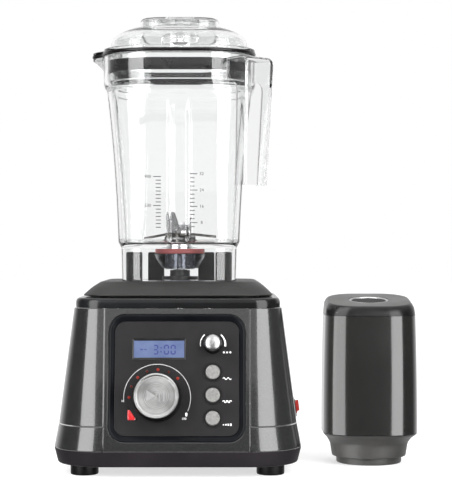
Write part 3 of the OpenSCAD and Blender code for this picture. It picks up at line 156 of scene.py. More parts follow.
makeWorld()
print("camera, lights and world set")


# Shapes: grids of points in millimetres, put into the mesh in metres

panelSet = dict(lean=10.0, front=122.0, rise=71.0, middle=97.5)
leanFront = math.radians(panelSet["lean"])
leanSin, leanCos = math.sin(leanFront), math.cos(leanFront)
upright = np.eye(3)
panelTurn = np.array([[1, 0, 0], [0, leanSin, -leanCos], [0, leanCos, leanSin]])
panelFront = panelSet["front"] - panelSet["rise"] * math.tan(leanFront)
atJar, atPump = (jarAxis, upright), (pumpAxis, upright)
atPanel = (jarAxis + [0, -panelFront, panelSet["middle"]], panelTurn)


def inRow(points, spot):  # local millimetres to metres in the row frame
    origin, turn = spot
    return (np.asarray(points, float) @ turn.T + origin) * 0.001


def shifted(spot, x, y, z):  # the same directions at another local point
    origin, turn = spot
    return (origin + turn @ np.array([x, y, z], float), turn)


def onPanel(values, z=0):  # a piece's own place on the panel, at a height
    return shifted(atPanel, values["u"], values["v"], z)


def gridFaces(rows, cols, wrapRows=False, wrapCols=True, keep=None):
    # one quad for each cell of the grid; cells marked False in keep are left open
    r = np.arange(rows if wrapRows else rows - 1)[:, None]
    c = np.arange(cols if wrapCols else cols - 1)[None]
    nextR, nextC = (r + 1) % rows, (c + 1) % cols
    quads = np.stack([r * cols + c, r * cols + nextC, nextR * cols + nextC, nextR * cols + c], -1)
    return quads.reshape(-1, 4) if keep is None else quads[keep]


def joined(*parts):
    # points of several grids end to end; the faces of each count on from the points before it
    starts = np.cumsum([0] + [part[0].size // 3 for part in parts])
    points = np.concatenate([part[0].reshape(-1, 3) for part in parts])
    faces = [f for part, n in zip(parts, starts) for some in part[1:] for f in (some + n).tolist()]
    return points, faces


def makePiece(name, points, faces, look, body, stands=(), wall=0, edge=0, sharp=35, closed=True, steps=2):
    # puts points and faces into a mesh, closes doubles, and lets Solidify and Bevel finish it
    mesh = bpy.data.meshes.new(name)
    mesh.from_pydata(np.asarray(points).reshape(-1, 3).tolist(), [], [list(map(int, f)) for f in faces])
    work = bmesh.new()
    work.from_mesh(mesh)
    bmesh.ops.remove_doubles(work, verts=work.verts, dist=2e-6)
    bmesh.ops.dissolve_degenerate(work, edges=work.edges, dist=1e-6)
    if closed:
        bmesh.ops.recalc_face_normals(work, faces=work.faces)
    work.to_mesh(mesh)
    work.free()
    mesh.polygons.foreach_set("use_smooth", np.ones(len(mesh.polygons), bool))
    if not edge:
        mesh.set_sharp_from_angle(angle=math.radians(sharp))
    piece = bpy.data.objects.new(name, mesh)
    bpy.context.scene.collection.objects.link(piece)
    mesh.materials.append(finish[look] if isinstance(look, str) else look)
    if wall:
        thick = piece.modifiers.new("wall", "SOLIDIFY")
        thick.thickness, thick.offset, thick.use_even_offset = wall / 1000, -1, True
    if edge:
        soft = piece.modifiers.new("edge", "BEVEL")
        soft.width, soft.segments, soft.limit_method = edge / 1000, steps, "ANGLE"
        soft.angle_limit, soft.harden_normals = math.radians(32), True
    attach(piece, body)
    if stands:
        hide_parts(*stands)
    return piece


def lofted(name, grid, spot, look, body, stands=(), ring=True, **rest):
    # rows of the grid joined to closed bands; a ring also joins the last row to the first
    faces = gridFaces(*grid.shape[:2], wrapRows=ring)
    return makePiece(name, inRow(grid, spot), faces, look, body, stands, **rest)


def arcOf(x, y, radius, a):  # points at a radius about a middle, for given angles
    return np.column_stack([x + radius * np.cos(a), y + radius * np.sin(a)])


def smoothCurve(points, count):
    # Catmull-Rom curve through the points, evenly stepped in its parameter
    p = np.asarray(points, float)
    p = np.vstack([2 * p[0] - p[1], p, 2 * p[-1] - p[-2]])
    t = np.linspace(0, len(points) - 1 - 1e-9, count)
    i = t.astype(int)
    f = (t - i)[:, None]
    a, b, c, d = p[i], p[i + 1], p[i + 2], p[i + 3]
    square, cube = 2 * a - 5 * b + 4 * c - d, 3 * b - a - 3 * c + d
    return 0.5 * (2 * b + (c - a) * f + square * f**2 + cube * f**3)


def asRows(*values):  # numbers and rows of numbers as rows of one length
    return np.broadcast_arrays(*[np.atleast_1d(np.asarray(v, float)) for v in values])


def roundedOutline(half, front, back, corner, arcSteps=14, sideSteps=1):
    # four quarter arcs about the corner centres, joined by evenly divided sides; one row for each level
    half, front, back, corner = asRows(half, front, back, corner)
    x, rear, fore = half - corner, back - corner, corner - front
    turn = np.linspace(0, math.pi / 2, arcSteps + 1)
    arcs = []
    for k, (cx, cy) in enumerate(((x, rear), (-x, rear), (-x, fore), (x, fore))):
        way = np.stack([np.cos(turn + k * math.pi / 2), np.sin(turn + k * math.pi / 2)], -1)
        arcs.append(np.stack([cx, cy], -1)[:, None] + corner[:, None, None] * way)
    share = np.linspace(0, 1, sideSteps + 1)[1:-1][None, :, None]
    parts = []
    for k in range(4):
        parts += [arcs[k], arcs[k][:, -1:] * (1 - share) + arcs[(k + 1) % 4][:, :1] * share]
    return np.concatenate(parts, 1)


def insetOutline(box, inset, corner):  # outline of a box's half width, front and back, drawn in by an inset
    return roundedOutline(box["half"] - inset, box["front"] - inset, box["back"] - inset, corner)


def squareOutline(half, corner, arcSteps=16, sideSteps=1):  # rounded square
    return roundedOutline(half, half, half, corner, arcSteps, sideSteps)


def braced(rows, gap=0.8):
    # adds a level close to both ends of each long span, so that smooth shading leaves the span flat
    rows = np.asarray(rows, float)
    step = np.diff(rows, axis=0)
    span = np.linalg.norm(step[:, [0, -1]], axis=1)
    far = np.nonzero(span > 6 * gap)[0]
    move = step[far] * (gap / span[far])[:, None]
    extra = np.stack([rows[far] + move, rows[far + 1] - move], 1).reshape(-1, rows.shape[1])
    return np.insert(rows, np.repeat(far + 1, 2), extra, axis=0)


def raised(outline, heights):  # outline rows lifted to their heights
    z = np.broadcast_to(np.asarray(heights, float)[:, None, None], outline.shape[:2] + (1,))
    return np.concatenate([outline, z], -1)


def roundRing(outline, radius, height):  # circle whose points lie in the same directions as the outline's
    a = np.arctan2(outline[:, 1], outline[:, 0])
    return np.stack([radius * np.cos(a), radius * np.sin(a), np.full(len(a), height)], -1)[None]


def bored(grid, radius, *heights):  # rows that end in a round hole, with a ring at each of its heights
    return np.concatenate([grid, *[roundRing(grid[-1], radius, z) for z in heights]])


def holedTop(grid, hole, top, under, inner, foot):
    # rows that go in over the top to a round hole, down it, back under the top and down an inner outline
    return np.concatenate([bored(grid, hole, top, under), raised(inner, [under]), raised(inner, [foot])])


def evenTurns(steps):  # angles of one turn in even steps
    return np.linspace(0, 2 * math.pi, steps, endpoint=False)


def spun(radius, height, steps):  # radius times the cosine and sine of even turns, at a height for each row
    a = evenTurns(steps)
    return np.stack(np.broadcast_arrays(radius * np.cos(a), radius * np.sin(a), height), -1)


def turned(name, profile, spot, look, body, stands=(), steps=96, ring=False, **rest):
    # profile of radius and height spun about the local z axis
    p = np.asarray(profile, float)
    return lofted(name, spun(p[:, :1], p[:, 1:], steps), spot, look, body, stands, ring, **rest)


# Finishes: shared node groups, and one material for each look

inputs = dict(Vector="Vector", ColorA="Color", ColorB="Color", Grain="Float", Tone="Float",
              RoughLow="Float", RoughHigh="Float")
outputs = dict(Color="Color", Roughness="Float", Height="Float")


def startGroup(name):  # empty group with the shared sockets; gives the group and its input sockets
    group = bpy.data.node_groups.new(name, "ShaderNodeTree")
    for way, sockets in (("INPUT", inputs), ("OUTPUT", outputs)):
        for label, kind in sockets.items():
            group.interface.new_socket(label, in_out=way, socket_type="NodeSocket" + kind)
    return group, group.nodes.new("NodeGroupInput").outputs


def addNode(tree, kind, links=(), values=(), **settings):  # node with its settings, values and links
    node = tree.nodes.new(kind)
    for key, value in settings.items():
        setattr(node, key, value)
    for key, value in values:
        node.inputs[key].default_value = value
    for source, key in links:
        tree.links.new(source, node.inputs[key])
    return node


def noiseNode(tree, source, scale, detail, key="Vector", **settings):  # noise at a scale given by a socket
    links = [(source, key), (scale, "Scale")]
    return addNode(tree, "ShaderNodeTexNoise", links, [("Detail", detail)], **settings).outputs[0]


def mathNode(tree, operation, *terms, kind="ShaderNodeMath"):  # its terms are sockets or fixed numbers
    fixed = [(i, t) for i, t in enumerate(terms) if isinstance(t, (float, tuple))]
    linked = [(t, i) for i, t in enumerate(terms) if not isinstance(t, (float, tuple))]
    return addNode(tree, kind, linked, fixed, operation=operation)


def spreadNode(tree, source, ends=(), start=0.3, stop=0.7):
    # straight change from start to stop of a mask, between two sockets, or from nought to one
    links = [(source, 0)] + [(end, key) for end, key in zip(ends, (3, 4))]
    return addNode(tree, "ShaderNodeMapRange", links, [(1, start), (2, stop)]).outputs[0]


def endGroup(group, h, share, gloss, height):
    # colours mixed by a share, roughness spread by a mask, and the height as it comes
    mix = addNode(group, "ShaderNodeMix", [(share, 0), (h["ColorA"], 6), (h["ColorB"], 7)], data_type="RGBA")
    rough = spreadNode(group, gloss, (h["RoughLow"], h["RoughHigh"]))
    links = [(mix.outputs[2], "Color"), (rough, "Roughness"), (height, "Height")]
    addNode(group, "NodeGroupOutput", links)
    return group


def mouldedGroup():
    # fine grain for the height, broad clouds for tone and gloss
    group, h = startGroup("mouldedFinish")
    fine = noiseNode(group, h["Vector"], h["Grain"], 3.0)
    broad = noiseNode(group, h["Vector"], h["Tone"], 4.0)
    return endGroup(group, h, spreadNode(group, broad), broad, fine)


def flakeGroup():
    # small cells, some of them bright, in a dark lacquer, with a slow change of tone
    group, h = startGroup("flakeFinish")
    cells = addNode(group, "ShaderNodeTexVoronoi", [(h["Vector"], "Vector"), (h["Grain"], "Scale")])
    pick = addNode(group, "ShaderNodeSeparateColor", [(cells.outputs["Color"], 0)]).outputs[0]
    broad = noiseNode(group, h["Vector"], h["Tone"], 3.0)
    return endGroup(group, h, spreadNode(group, pick, start=0.55, stop=1.0), broad, broad)


def turnedGroup():
    # rings about the local z axis: noise along the radius gives tool marks, and the cosine of twice the
    # angle gives two bright wedges of painted highlight, in place of the light on spun metal
    group, h = startGroup("turnedMarksPaintedHighlight")
    vector = "ShaderNodeVectorMath"
    flat = mathNode(group, "MULTIPLY", h["Vector"], (1, 1, 0), kind=vector).outputs[0]
    reach = mathNode(group, "LENGTH", flat, kind=vector).outputs["Value"]
    rings = noiseNode(group, reach, h["Grain"], 4.0, key="W", noise_dimensions="1D")
    broad = noiseNode(group, h["Vector"], h["Tone"], 2.0)
    both = mathNode(group, "MULTIPLY", rings, broad).outputs[0]
    share = spreadNode(group, both, start=0.12, stop=0.4)
    split = addNode(group, "ShaderNodeSeparateXYZ", [(h["Vector"], 0)]).outputs
    # painted highlight: the angle about the axis, doubled, makes two bright wedges in the colour
    angle = mathNode(group, "ARCTAN2", split["Y"], split["X"]).outputs[0]
    twice = mathNode(group, "MULTIPLY_ADD", angle, 2.0, -2.6).outputs[0]
    paintedHighlight = mathNode(group, "COSINE", twice).outputs[0]
    marksAndPaintedHighlight = mathNode(group, "MULTIPLY_ADD", paintedHighlight, 0.3, share).outputs[0]
    return endGroup(group, h, marksAndPaintedHighlight, rings, rings)


def clearGroup():
    # long faint flow lines down the wall and fine rub marks, for clear plastic
    group, h = startGroup("clearFinish")
    long = mathNode(group, "MULTIPLY", h["Vector"], (1, 1, 0.06), kind="ShaderNodeVectorMath").outputs[0]
    flow = noiseNode(group, long, h["Tone"], 2.0)
    rub = noiseNode(group, h["Vector"], h["Grain"], 5.0)
    return endGroup(group, h, rub, rub, flow)


groups = dict(moulded=mouldedGroup(), flake=flakeGroup(), turned=turnedGroup(), clear=clearGroup())
socketOf = dict(metal="Metallic", coat="Coat Weight", coatRough="Coat Roughness", shine="Specular IOR Level",
                through="Transmission Weight", bend="IOR")


def makeFinish(name, a, b, grain, tone, rough, kind="moulded", tint=(1, 1, 1), tintB=None, bump=0.05,
               depth=0.0001, spot=None, glow=0, seenOnly=False, **sockets):
    # one material: Object coordinates, a shared group, and the shader's own constants; each of the two
    # colours is a grey or a colour times a tint
    material = bpy.data.materials.new(name)
    material.use_nodes = True
    tree = material.node_tree
    shader = tree.nodes["Principled BSDF"]
    where = addNode(tree, "ShaderNodeTexCoord").outputs["Object"]
    if spot is not None:  # centres and turns the pattern on its piece
        origin, turn = spot
        back = addNode(tree, "ShaderNodeMapping", [(where, "Vector")], vector_type="TEXTURE")
        back.inputs["Location"].default_value = tuple(origin / 1000)
        lean = math.atan2(turn[2, 1], turn[2, 2]) if turn is panelTurn else 0
        back.inputs["Rotation"].default_value = (lean, 0, 0)
        where = back.outputs[0]
    values = dict(ColorA=(*np.multiply(a, tint), 1), ColorB=(*np.multiply(b, tintB or tint), 1), Grain=grain,
                  Tone=tone, RoughLow=rough[0], RoughHigh=rough[1])
    unit = addNode(tree, "ShaderNodeGroup", node_tree=groups[kind])
    tree.links.new(where, unit.inputs["Vector"])
    for label, value in values.items():
        unit.inputs[label].default_value = value
    tree.links.new(unit.outputs["Color"], shader.inputs["Base Color"])
    tree.links.new(unit.outputs["Roughness"], shader.inputs["Roughness"])
    if bump:
        strength = [("Strength", bump), ("Distance", depth)]
        lift = addNode(tree, "ShaderNodeBump", [(unit.outputs["Height"], "Height")], strength)
        tree.links.new(lift.outputs[0], shader.inputs["Normal"])
    if glow:
        tree.links.new(unit.outputs["Color"], shader.inputs["Emission Color"])
        shader.inputs["Emission Strength"].default_value = glow
    if seenOnly:  # glows to the camera alone, so that it lights nothing
        seen = addNode(tree, "ShaderNodeLightPath").outputs["Is Camera Ray"]
        tree.links.new(mathNode(tree, "MULTIPLY", seen, glow).outputs[0], shader.inputs["Emission Strength"])
    for key, value in sockets.items():
        shader.inputs[socketOf[key]].default_value = value
    return material


lacquerLook = dict(kind="flake", bump=0.02, depth=0.0002)
clearLook = dict(kind="clear", depth=0.0003, through=1.0)
clearTint = dict(tint=(0.99, 1, 1), tintB=(1, 1, 1), bend=1.38, shine=0.5)
finish = dict(
    lacquer=makeFinish("greyLacquer", 0.014, 0.034, 2600, 14, (0.16, 0.22), tint=(0.98, 1, 1),
                       metal=0.25, coat=0.6, coatRough=0.04, **lacquerLook),
    pumpLacquer=makeFinish("pumpLacquer", 0.009, 0.021, 2600, 14, (0.16, 0.22), tint=(1, 0.98, 0.94),
                           tintB=(1, 0.98, 0.93), metal=0.2, coat=0.42, coatRough=0.03, **lacquerLook),
    pan=makeFinish("panPlastic", 0.009, 0.013, 2200, 25, (0.5, 0.6), tint=(1.08, 0.9, 1.08), bump=0.25,
                   depth=0.00015, shine=0.14),
    deck=makeFinish("deckBlack", 0.005, 0.008, 900, 30, (0.16, 0.24), tintB=(0.95, 1, 1.1), bump=0.03,
                    coat=0.08, coatRough=0.05, shine=0.25),
    pad=makeFinish("padRubber", 0.010, 0.016, 1700, 22, (0.42, 0.55), tint=(1.03, 1, 0.97), bump=0.3,
                   depth=0.0002, shine=0.35),
    pumpTop=makeFinish("pumpTopPlastic", 0.018, 0.027, 1900, 30, (0.3, 0.4), tint=(1.03, 1, 0.95), bump=0.1,
                       depth=0.00015, shine=0.35),
    pumpBand=makeFinish("pumpBandBlack", 0.003, 0.006, 1500, 30, (0.2, 0.3), tintB=(1, 0.97, 1), bump=0.04,
                        shine=0.25),
    collar=makeFinish("collarPlastic", 0.038, 0.052, 2200, 30, (0.42, 0.52), tint=(1.02, 1, 0.97), bump=0.2,
                      depth=0.00015, shine=0.3),
    bezel=makeFinish("bezelGloss", 0.003, 0.006, 800, 30, (0.3, 0.4), tint=(0.9, 1, 1.25), bump=0.02,
                     shine=0.08),
    panel=makeFinish("panelMatt", 0.009, 0.013, 4000, 40, (0.5, 0.6), tint=(1, 0.94, 1), bump=0.2,
                     depth=0.00008, shine=0.12),
    knob=makeFinish("knobBlack", 0.004, 0.008, 2500, 50, (0.36, 0.46), bump=0.1, shine=0.1),
    clear=makeFinish("clearPlastic", 0.957, 0.977, 220, 60, (0.0, 0.03), **clearTint, **clearLook),
    grip=makeFinish("gripClear", 0.93, 0.95, 220, 60, (0.0, 0.03), **clearTint, **clearLook),
    smoke=makeFinish("smokedPlastic", 0.42, 0.5, 220, 60, (0.0, 0.04), tint=(0.97, 0.98, 1.04), bend=1.47,
                     **clearLook),
    seal=makeFinish("sealBlack", 0.003, 0.006, 1500, 40, (0.2, 0.3), tint=(1.1, 0.95, 1), shine=0.25),
    gasket=makeFinish("gasketRed", (0.36, 0.075, 0.075), (0.44, 0.105, 0.1), 1500, 40, (0.35, 0.5), bump=0.1),
    steel=makeFinish("bladeSteel", 0.30, 0.42, 900, 140, (0.16, 0.3), tint=(0.99, 0.98, 1), metal=1.0),
    # darker copy of the blade steel: painted shade for the blades that lie flat or point down
    paintedShadeSteel=makeFinish("paintedShadeSteel", 0.05, 0.09, 900, 140, (0.25, 0.4), tint=(1.03, 1, 0.94), metal=1.0),
    nut=makeFinish("nutSteel", 0.5, 0.62, 900, 120, (0.2, 0.34), tint=(0.95, 0.98, 1.05), metal=1.0),
    socket=makeFinish("socketBlack", 0.008, 0.014, 1800, 60, (0.35, 0.5), bump=0.15),
    rubber=makeFinish("footRubber", 0.003, 0.006, 1800, 60, (0.4, 0.5), bump=0.2, shine=0.12),
    lcd=makeFinish("displayLit", (0.045, 0.062, 0.130), (0.068, 0.090, 0.160), 6000, 60, (0.35, 0.42),
                   bump=0.0, glow=0.36, shine=0.15),
    digit=makeFinish("digitBlue", (0.006, 0.011, 0.10), (0.009, 0.015, 0.12), 3000, 60, (0.4, 0.5), bump=0.0),
    frameDark=makeFinish("displayFrame", 0.005, 0.011, 2500, 60, (0.3, 0.4), tint=(1, 1, 1.1),
                         tintB=(1, 1, 1), bump=0.1, shine=0.3),
    ledDim=makeFinish("lightDim", (0.045, 0.008, 0.006), (0.075, 0.012, 0.008), 3000, 90, (0.4, 0.5),
                      shine=0.15),
    led=makeFinish("lightRed", (0.15, 0.012, 0.008), (0.21, 0.018, 0.010), 3000, 90, (0.4, 0.5), shine=0.15),
    lens=makeFinish("lensRed", (0.55, 0.02, 0.025), (0.68, 0.04, 0.04), 1500, 160, (0.12, 0.2), coat=0.5),
    rocker=makeFinish("rockerRed", (0.25, 0.014, 0.012), (0.32, 0.02, 0.015), 1800, 60, (0.22, 0.32)),
    ink=makeFinish("whiteInk", 0.75, 0.85, 4000, 90, (0.5, 0.6)),
    arcInk=makeFinish("arcInk", 0.34, 0.42, 4000, 90, (0.5, 0.6)),
    guide=makeFinish("guideBlack", 0.004, 0.007, 2200, 60, (0.3, 0.42), bump=0.1, shine=0.2),
    engraved=makeFinish("engravedGrey", 0.30, 0.38, 3000, 120, (0.35, 0.45), bump=0.1, metal=0.8),
    scaleInk=makeFinish("scaleInk", 0.012, 0.02, 4000, 90, (0.5, 0.6)),
    copper=makeFinish("coilCopper", (0.55, 0.24, 0.09), (0.66, 0.31, 0.13), 900, 60, (0.3, 0.45), bump=0.3,
                      metal=1.0),
    cast=makeFinish("castAlloy", 0.42, 0.52, 1400, 50, (0.4, 0.55), bump=0.3, metal=1.0),
    iron=makeFinish("ironCore", 0.16, 0.22, 1600, 60, (0.45, 0.6), bump=0.3, metal=0.8),
    board=makeFinish("boardGreen", (0.012, 0.10, 0.035), (0.018, 0.13, 0.05), 800, 90, (0.3, 0.45), bump=0.1),
    cream=makeFinish("fanNylon", (0.62, 0.58, 0.47), (0.68, 0.64, 0.53), 1400, 40, (0.4, 0.55), bump=0.15),
    cell=makeFinish("cellWrap", (0.04, 0.10, 0.22), (0.05, 0.13, 0.27), 900, 60, (0.25, 0.35)),
    valve=makeFinish("valveSilicone", 0.45, 0.55, 1200, 60, (0.4, 0.5), bump=0.1),
)


def turnedMarksPaintedHighlight(name, spot, a, b, rough, rings, tint=(1, 1, 1)):  # spun metal centred on its own axis: tool rings, and two painted highlight wedges
    return makeFinish(name, a, b, rings, 60, rough, "turned", tint, bump=0.12, depth=0.00005, spot=spot,
                      metal=1.0)


painted = dict(
    panel=["control_panel"], lcd=["lcd_module"], guide=["button_guides"], lens=["start_lens"],
    socket=["switch_housing", "cord_gland", "encoders", "brush_holders"],
    board=["control_board"], iron=["motor_stator", "armature"], copper=["field_coils"],
    cast=["upper_bracket", "lower_bracket", "pump_unit"], cream=["cooling_fan"],
    steel=["shaft_bearings", "motor_shaft", "speed_stem", "case_screws", "blade_bearing", "blade_shaft",
           "blade_up", "blade_nut"],
    # the flat and downward blades take the darker steel, painted shade
    paintedShadeSteel=["blade_down", "blade_flat"], rocker=["power_rocker"], cell=["pump_battery"],
    valve=["cap_valve"])
for look, names in painted.items():  # finishes of the CAD nodes that are carried over
    for name in names:
        nodes[name].data.materials.clear()
        nodes[name].data.materials.append(finish[look])
print("finishes:", len(finish))


# Housing

housing = dict(footHalf=124.5, coverHalf=120.0, front=122.0, back=118.0, corner=50.0, topCorner=30.0,
               bandZ=26.5, coverZ=50.0, topZ=166.0, leanSide=7.4, leanBack=5.0, wall=3.0, seam=0.5,
               frameHalf=72.0, edge=0.7, arcPoints=17)
rockerHole = dict(z=63.0, tall=7.4, y=-44.0, long=14.3)


def halfAt(z):  # half width falls in two straight lines: flare of the band, then lean of the covers
    h = housing
    topHalf = h["coverHalf"] - (h["topZ"] - h["coverZ"]) * math.tan(math.radians(h["leanSide"]))
    return np.interp(z, [h["bandZ"], h["coverZ"], h["topZ"]], [h["footHalf"], h["coverHalf"], topHalf])


def cornerAt(z):  # corner radius shrinks evenly from the band to the top
    return np.interp(z, [housing["bandZ"], housing["topZ"]], [housing["corner"], housing["topCorner"]])


def frontAt(z):  # front leans back by one angle
    return housing["front"] - (np.asarray(z, float) - housing["bandZ"]) * math.tan(leanFront)


def backAt(z):  # back leans in by a smaller angle
    lean = math.radians(housing["leanBack"])
    return housing["back"] - (np.asarray(z, float) - housing["bandZ"]) * math.tan(lean)


def sidePath(z, cut, stops=()):
    # right-hand half of the outline: from x = cut in front, round the corner, along the side past its
    # stops, round the back corner, and back to x = cut
    z = np.asarray(z, float)[:, None]
    half, front, back, r = halfAt(z), frontAt(z), backAt(z), cornerAt(z)
    start = np.arcsin(np.clip((cut - half + r) / r, 0, 1))
    a = start + (math.pi / 2 - start) * np.linspace(0, 1, housing["arcPoints"])
    ahead = np.stack([half - r + r * np.sin(a), -(front - r) - r * np.cos(a)], -1)
    behind = np.stack([half - r + r * np.sin(a), (back - r) + r * np.cos(a)], -1)[:, ::-1]
    first, *line, last = [np.stack([x + 0 * z, y + 0 * z], -1)
                          for x, y in ((cut, -front), *[(half, y) for y in stops], (cut, back))]
    return raised(np.concatenate([first, ahead, *line, behind, last], 1), z[:, 0])


def sideShell(name, side, node, hole=None):
    # side path at the foot and the top of a cover, mirrored for the left; the cell of the rocker stays open
    h = housing
    levels, stops = [h["coverZ"] + h["seam"], h["topZ"]], []
    if hole:
        levels[1:1] = [hole["z"] - hole["tall"], hole["z"] + hole["tall"]]
        stops = [hole["y"] - hole["long"], hole["y"] + hole["long"]]
    grid = sidePath(levels, h["frameHalf"] + h["seam"], stops)
    keep = np.ones((grid.shape[0] - 1, grid.shape[1] - 1), bool)
    if hole:
        keep[1, h["arcPoints"] + 1] = False
    faces = gridFaces(*grid.shape[:2], wrapCols=False, keep=keep)[:, ::side]
    makePiece(name, inRow(grid * [side, 1, 1], atJar), faces, "lacquer", "base", [node],
              wall=h["wall"], edge=h["edge"], closed=False)


sideShell("leftShell", -1, "left_cover")
sideShell("rightShell", 1, "right_cover", rockerHole)
rearSet = dict(half=72.0, ventHalf=35.0, glandHalf=6.1, glandLow=57.9, glandTop=70.1, vents=7, ventLow=44.0,
               ventPitch=8.0, ventTall=1.5, edge=0.5)


def rearShell():
    # back wall between the side covers; cells of the vents and of the gland stay open
    h, s = housing, rearSet
    vents = h["coverZ"] + s["ventLow"] + np.arange(s["vents"]) * s["ventPitch"]
    slots = (vents[:, None] + [-s["ventTall"], s["ventTall"]]).ravel()
    z = np.concatenate([[h["coverZ"] + h["seam"], s["glandLow"], s["glandTop"]], slots, [h["topZ"]]])
    x = np.array([s["half"], s["ventHalf"], s["glandHalf"]])
    x = np.concatenate([x, -x[::-1]])
    grid = np.stack(np.broadcast_arrays(x[None], backAt(z)[:, None], z[:, None]), -1)
    keep = np.ones((len(z) - 1, len(x) - 1), bool)
    keep[1, 2] = False
    keep[3:3 + 2 * s["vents"]:2, 1:4] = False
    faces = gridFaces(len(z), len(x), wrapCols=False, keep=keep)
    makePiece("rearShell", inRow(grid, atJar), faces, "lacquer", "base", ["rear_cover"],
              wall=h["wall"], edge=s["edge"], closed=False)


rearShell()
opening = dict(half=68.3, tall=63.55, corner=17.3, flat=(51.0, 46.25), diagonal=12.23, close=0.01)


def squareWalk(hole, half, low, top):
    # each point of the opening's outline goes straight out to the frame's outline, and the middle of each
    # corner goes to the frame's corner
    o, size = opening, np.abs(hole)
    past = size - o["flat"]
    corner = (past > 0).all(1)
    steep = past[:, 1] > past[:, 0]
    far = np.column_stack([np.full(len(hole), half), np.where(hole[:, 1] > 0, top, -low)])
    spread = o["flat"] + (far - o["flat"]) * np.clip(past / o["diagonal"], 0, 1)
    near = np.where(corner[:, None], spread, size)
    level = size >= [o["half"] - o["close"], o["tall"] - o["close"]]
    level |= corner[:, None] & np.column_stack([~steep, steep])
    return np.sign(hole) * np.where(level, far, near)


def lowerShell():
    # band: the side path of both halves below the covers; front: the opening joined to the frame's outline
    # in the leaning plane
    h, o = housing, opening
    right = sidePath(np.linspace(h["bandZ"], h["coverZ"], 4), h["frameHalf"])
    band = np.concatenate([right, (right * [-1, 1, 1])[:, ::-1]], 1)
    hole = roundedOutline(o["half"], o["tall"], o["tall"], o["corner"], 16, 3)[0]
    top, low = [(z - panelSet["middle"]) / math.cos(leanFront) for z in (h["topZ"], h["bandZ"])]
    front = raised(np.stack([hole, squareWalk(hole, h["frameHalf"], low, top)]), [0, 0])
    points, faces = joined((inRow(band, atJar), gridFaces(*band.shape[:2], wrapCols=False)),
                           (inRow(front, atPanel), gridFaces(*front.shape[:2])[:, ::-1]))
    makePiece("lowerShell", points, faces, "lacquer", "base", ["lower_housing"],
              wall=h["wall"], edge=h["edge"], closed=False)


lowerShell()
panSet = dict(half=124.5, front=122.0, back=118.0, top=(0.2, 26.0), floorEdge=(30.0, 10.5), wall=2.6,
              curve=[[0.25, 25.6], [1.7, 19.5], [3.2, 13.6], [4.1, 11.4], [6.4, 10.5]],
              floor=10.55, floorHalf=96.0, deep=(-93.0, -35.0, 35.0, 89.0), slotsHalf=50.5, slots=8,
              pitch=12.0, slot=(2.5, 9.5))


def panShell():
    # rounded tray: inset and height follow a smooth curve round the lower edge, then in under a slotted floor
    p = panSet
    curve = np.vstack([p["top"], smoothCurve(p["curve"], 18), p["floorEdge"]])
    grid = raised(insetOutline(p, curve[:, 0], housing["corner"] - curve[:, 0] / 2), curve[:, 1])
    first = np.arange(p["slots"]) - p["slots"] // 2
    slots = (first[:, None] * p["pitch"] + p["slot"]).ravel()
    x = np.concatenate([[-p["floorHalf"], -p["slotsHalf"]], slots, [p["slotsHalf"], p["floorHalf"]]])
    floor = np.stack(np.broadcast_arrays(x[None], np.array(p["deep"])[:, None], p["floor"]), -1)
    keep = np.ones((len(p["deep"]) - 1, len(x) - 1), bool)
    keep[1, 1::2] = False
    under = gridFaces(*floor.shape[:2], wrapCols=False, keep=keep)[:, ::-1]
    points, faces = joined((grid, gridFaces(*grid.shape[:2])[:, ::-1]), (floor, under))
    makePiece("panShell", inRow(points, atJar), faces, "pan", "base", ["base_pan"], wall=p["wall"],
              closed=False)


panShell()
deck = dict(half=104.934, front=97.403, back=105.79, inset=1.6, low=166.5, height=9.7, hole=21.0, rib=9.0,
            ribCorner=25.0, ribFoot=0.5, roof=5.2, flat=12.0,
            curve=[[0.25, -0.05], [0.08, 0.15], [0, 0.4], [0.3, 0.64], [1.1, 0.83], [2.6, 0.96], [5, 1]])


def deckCap():
    # bullnose by a smooth curve of inset and height, flat top in to the hole, and back under it to the rim
    d = deck
    curve = np.vstack([smoothCurve(d["curve"], 26), [d["flat"], 1.0]])
    inset, top = d["inset"] + curve[:, 0], d["low"] + d["height"]
    grid = raised(insetOutline(d, inset, housing["topCorner"] - inset), d["low"] + d["height"] * curve[:, 1])
    inner = insetOutline(d, d["rib"], d["ribCorner"])
    grid = holedTop(grid, d["hole"], top, top - d["roof"], inner, d["low"] - d["ribFoot"])
    lofted("deckCap", grid, atJar, "deck", "base", ["top_deck"])


deckCap()
pad = dict(half=96.0, front=89.9, back=97.79, corner=30.0, low=177.7, height=14.3, shoulder=19.0,
           tighten=0.35, hole=21.0, plinth=14.0, plinthCorner=22.0, deckTop=176.2, postHalf=54.5,
           postWidth=17.0, postCorner=18.5, postHeight=30.0, postRear=27.0, postEdge=(1.6, 0.5), postRoot=1.0,
           curve=[[0.05, 0], [0, 0.055], [0.03, 0.12], [0.16, 0.28], [0.44, 0.6], [0.7, 0.83],
                  [0.87, 0.96], [1, 1]])


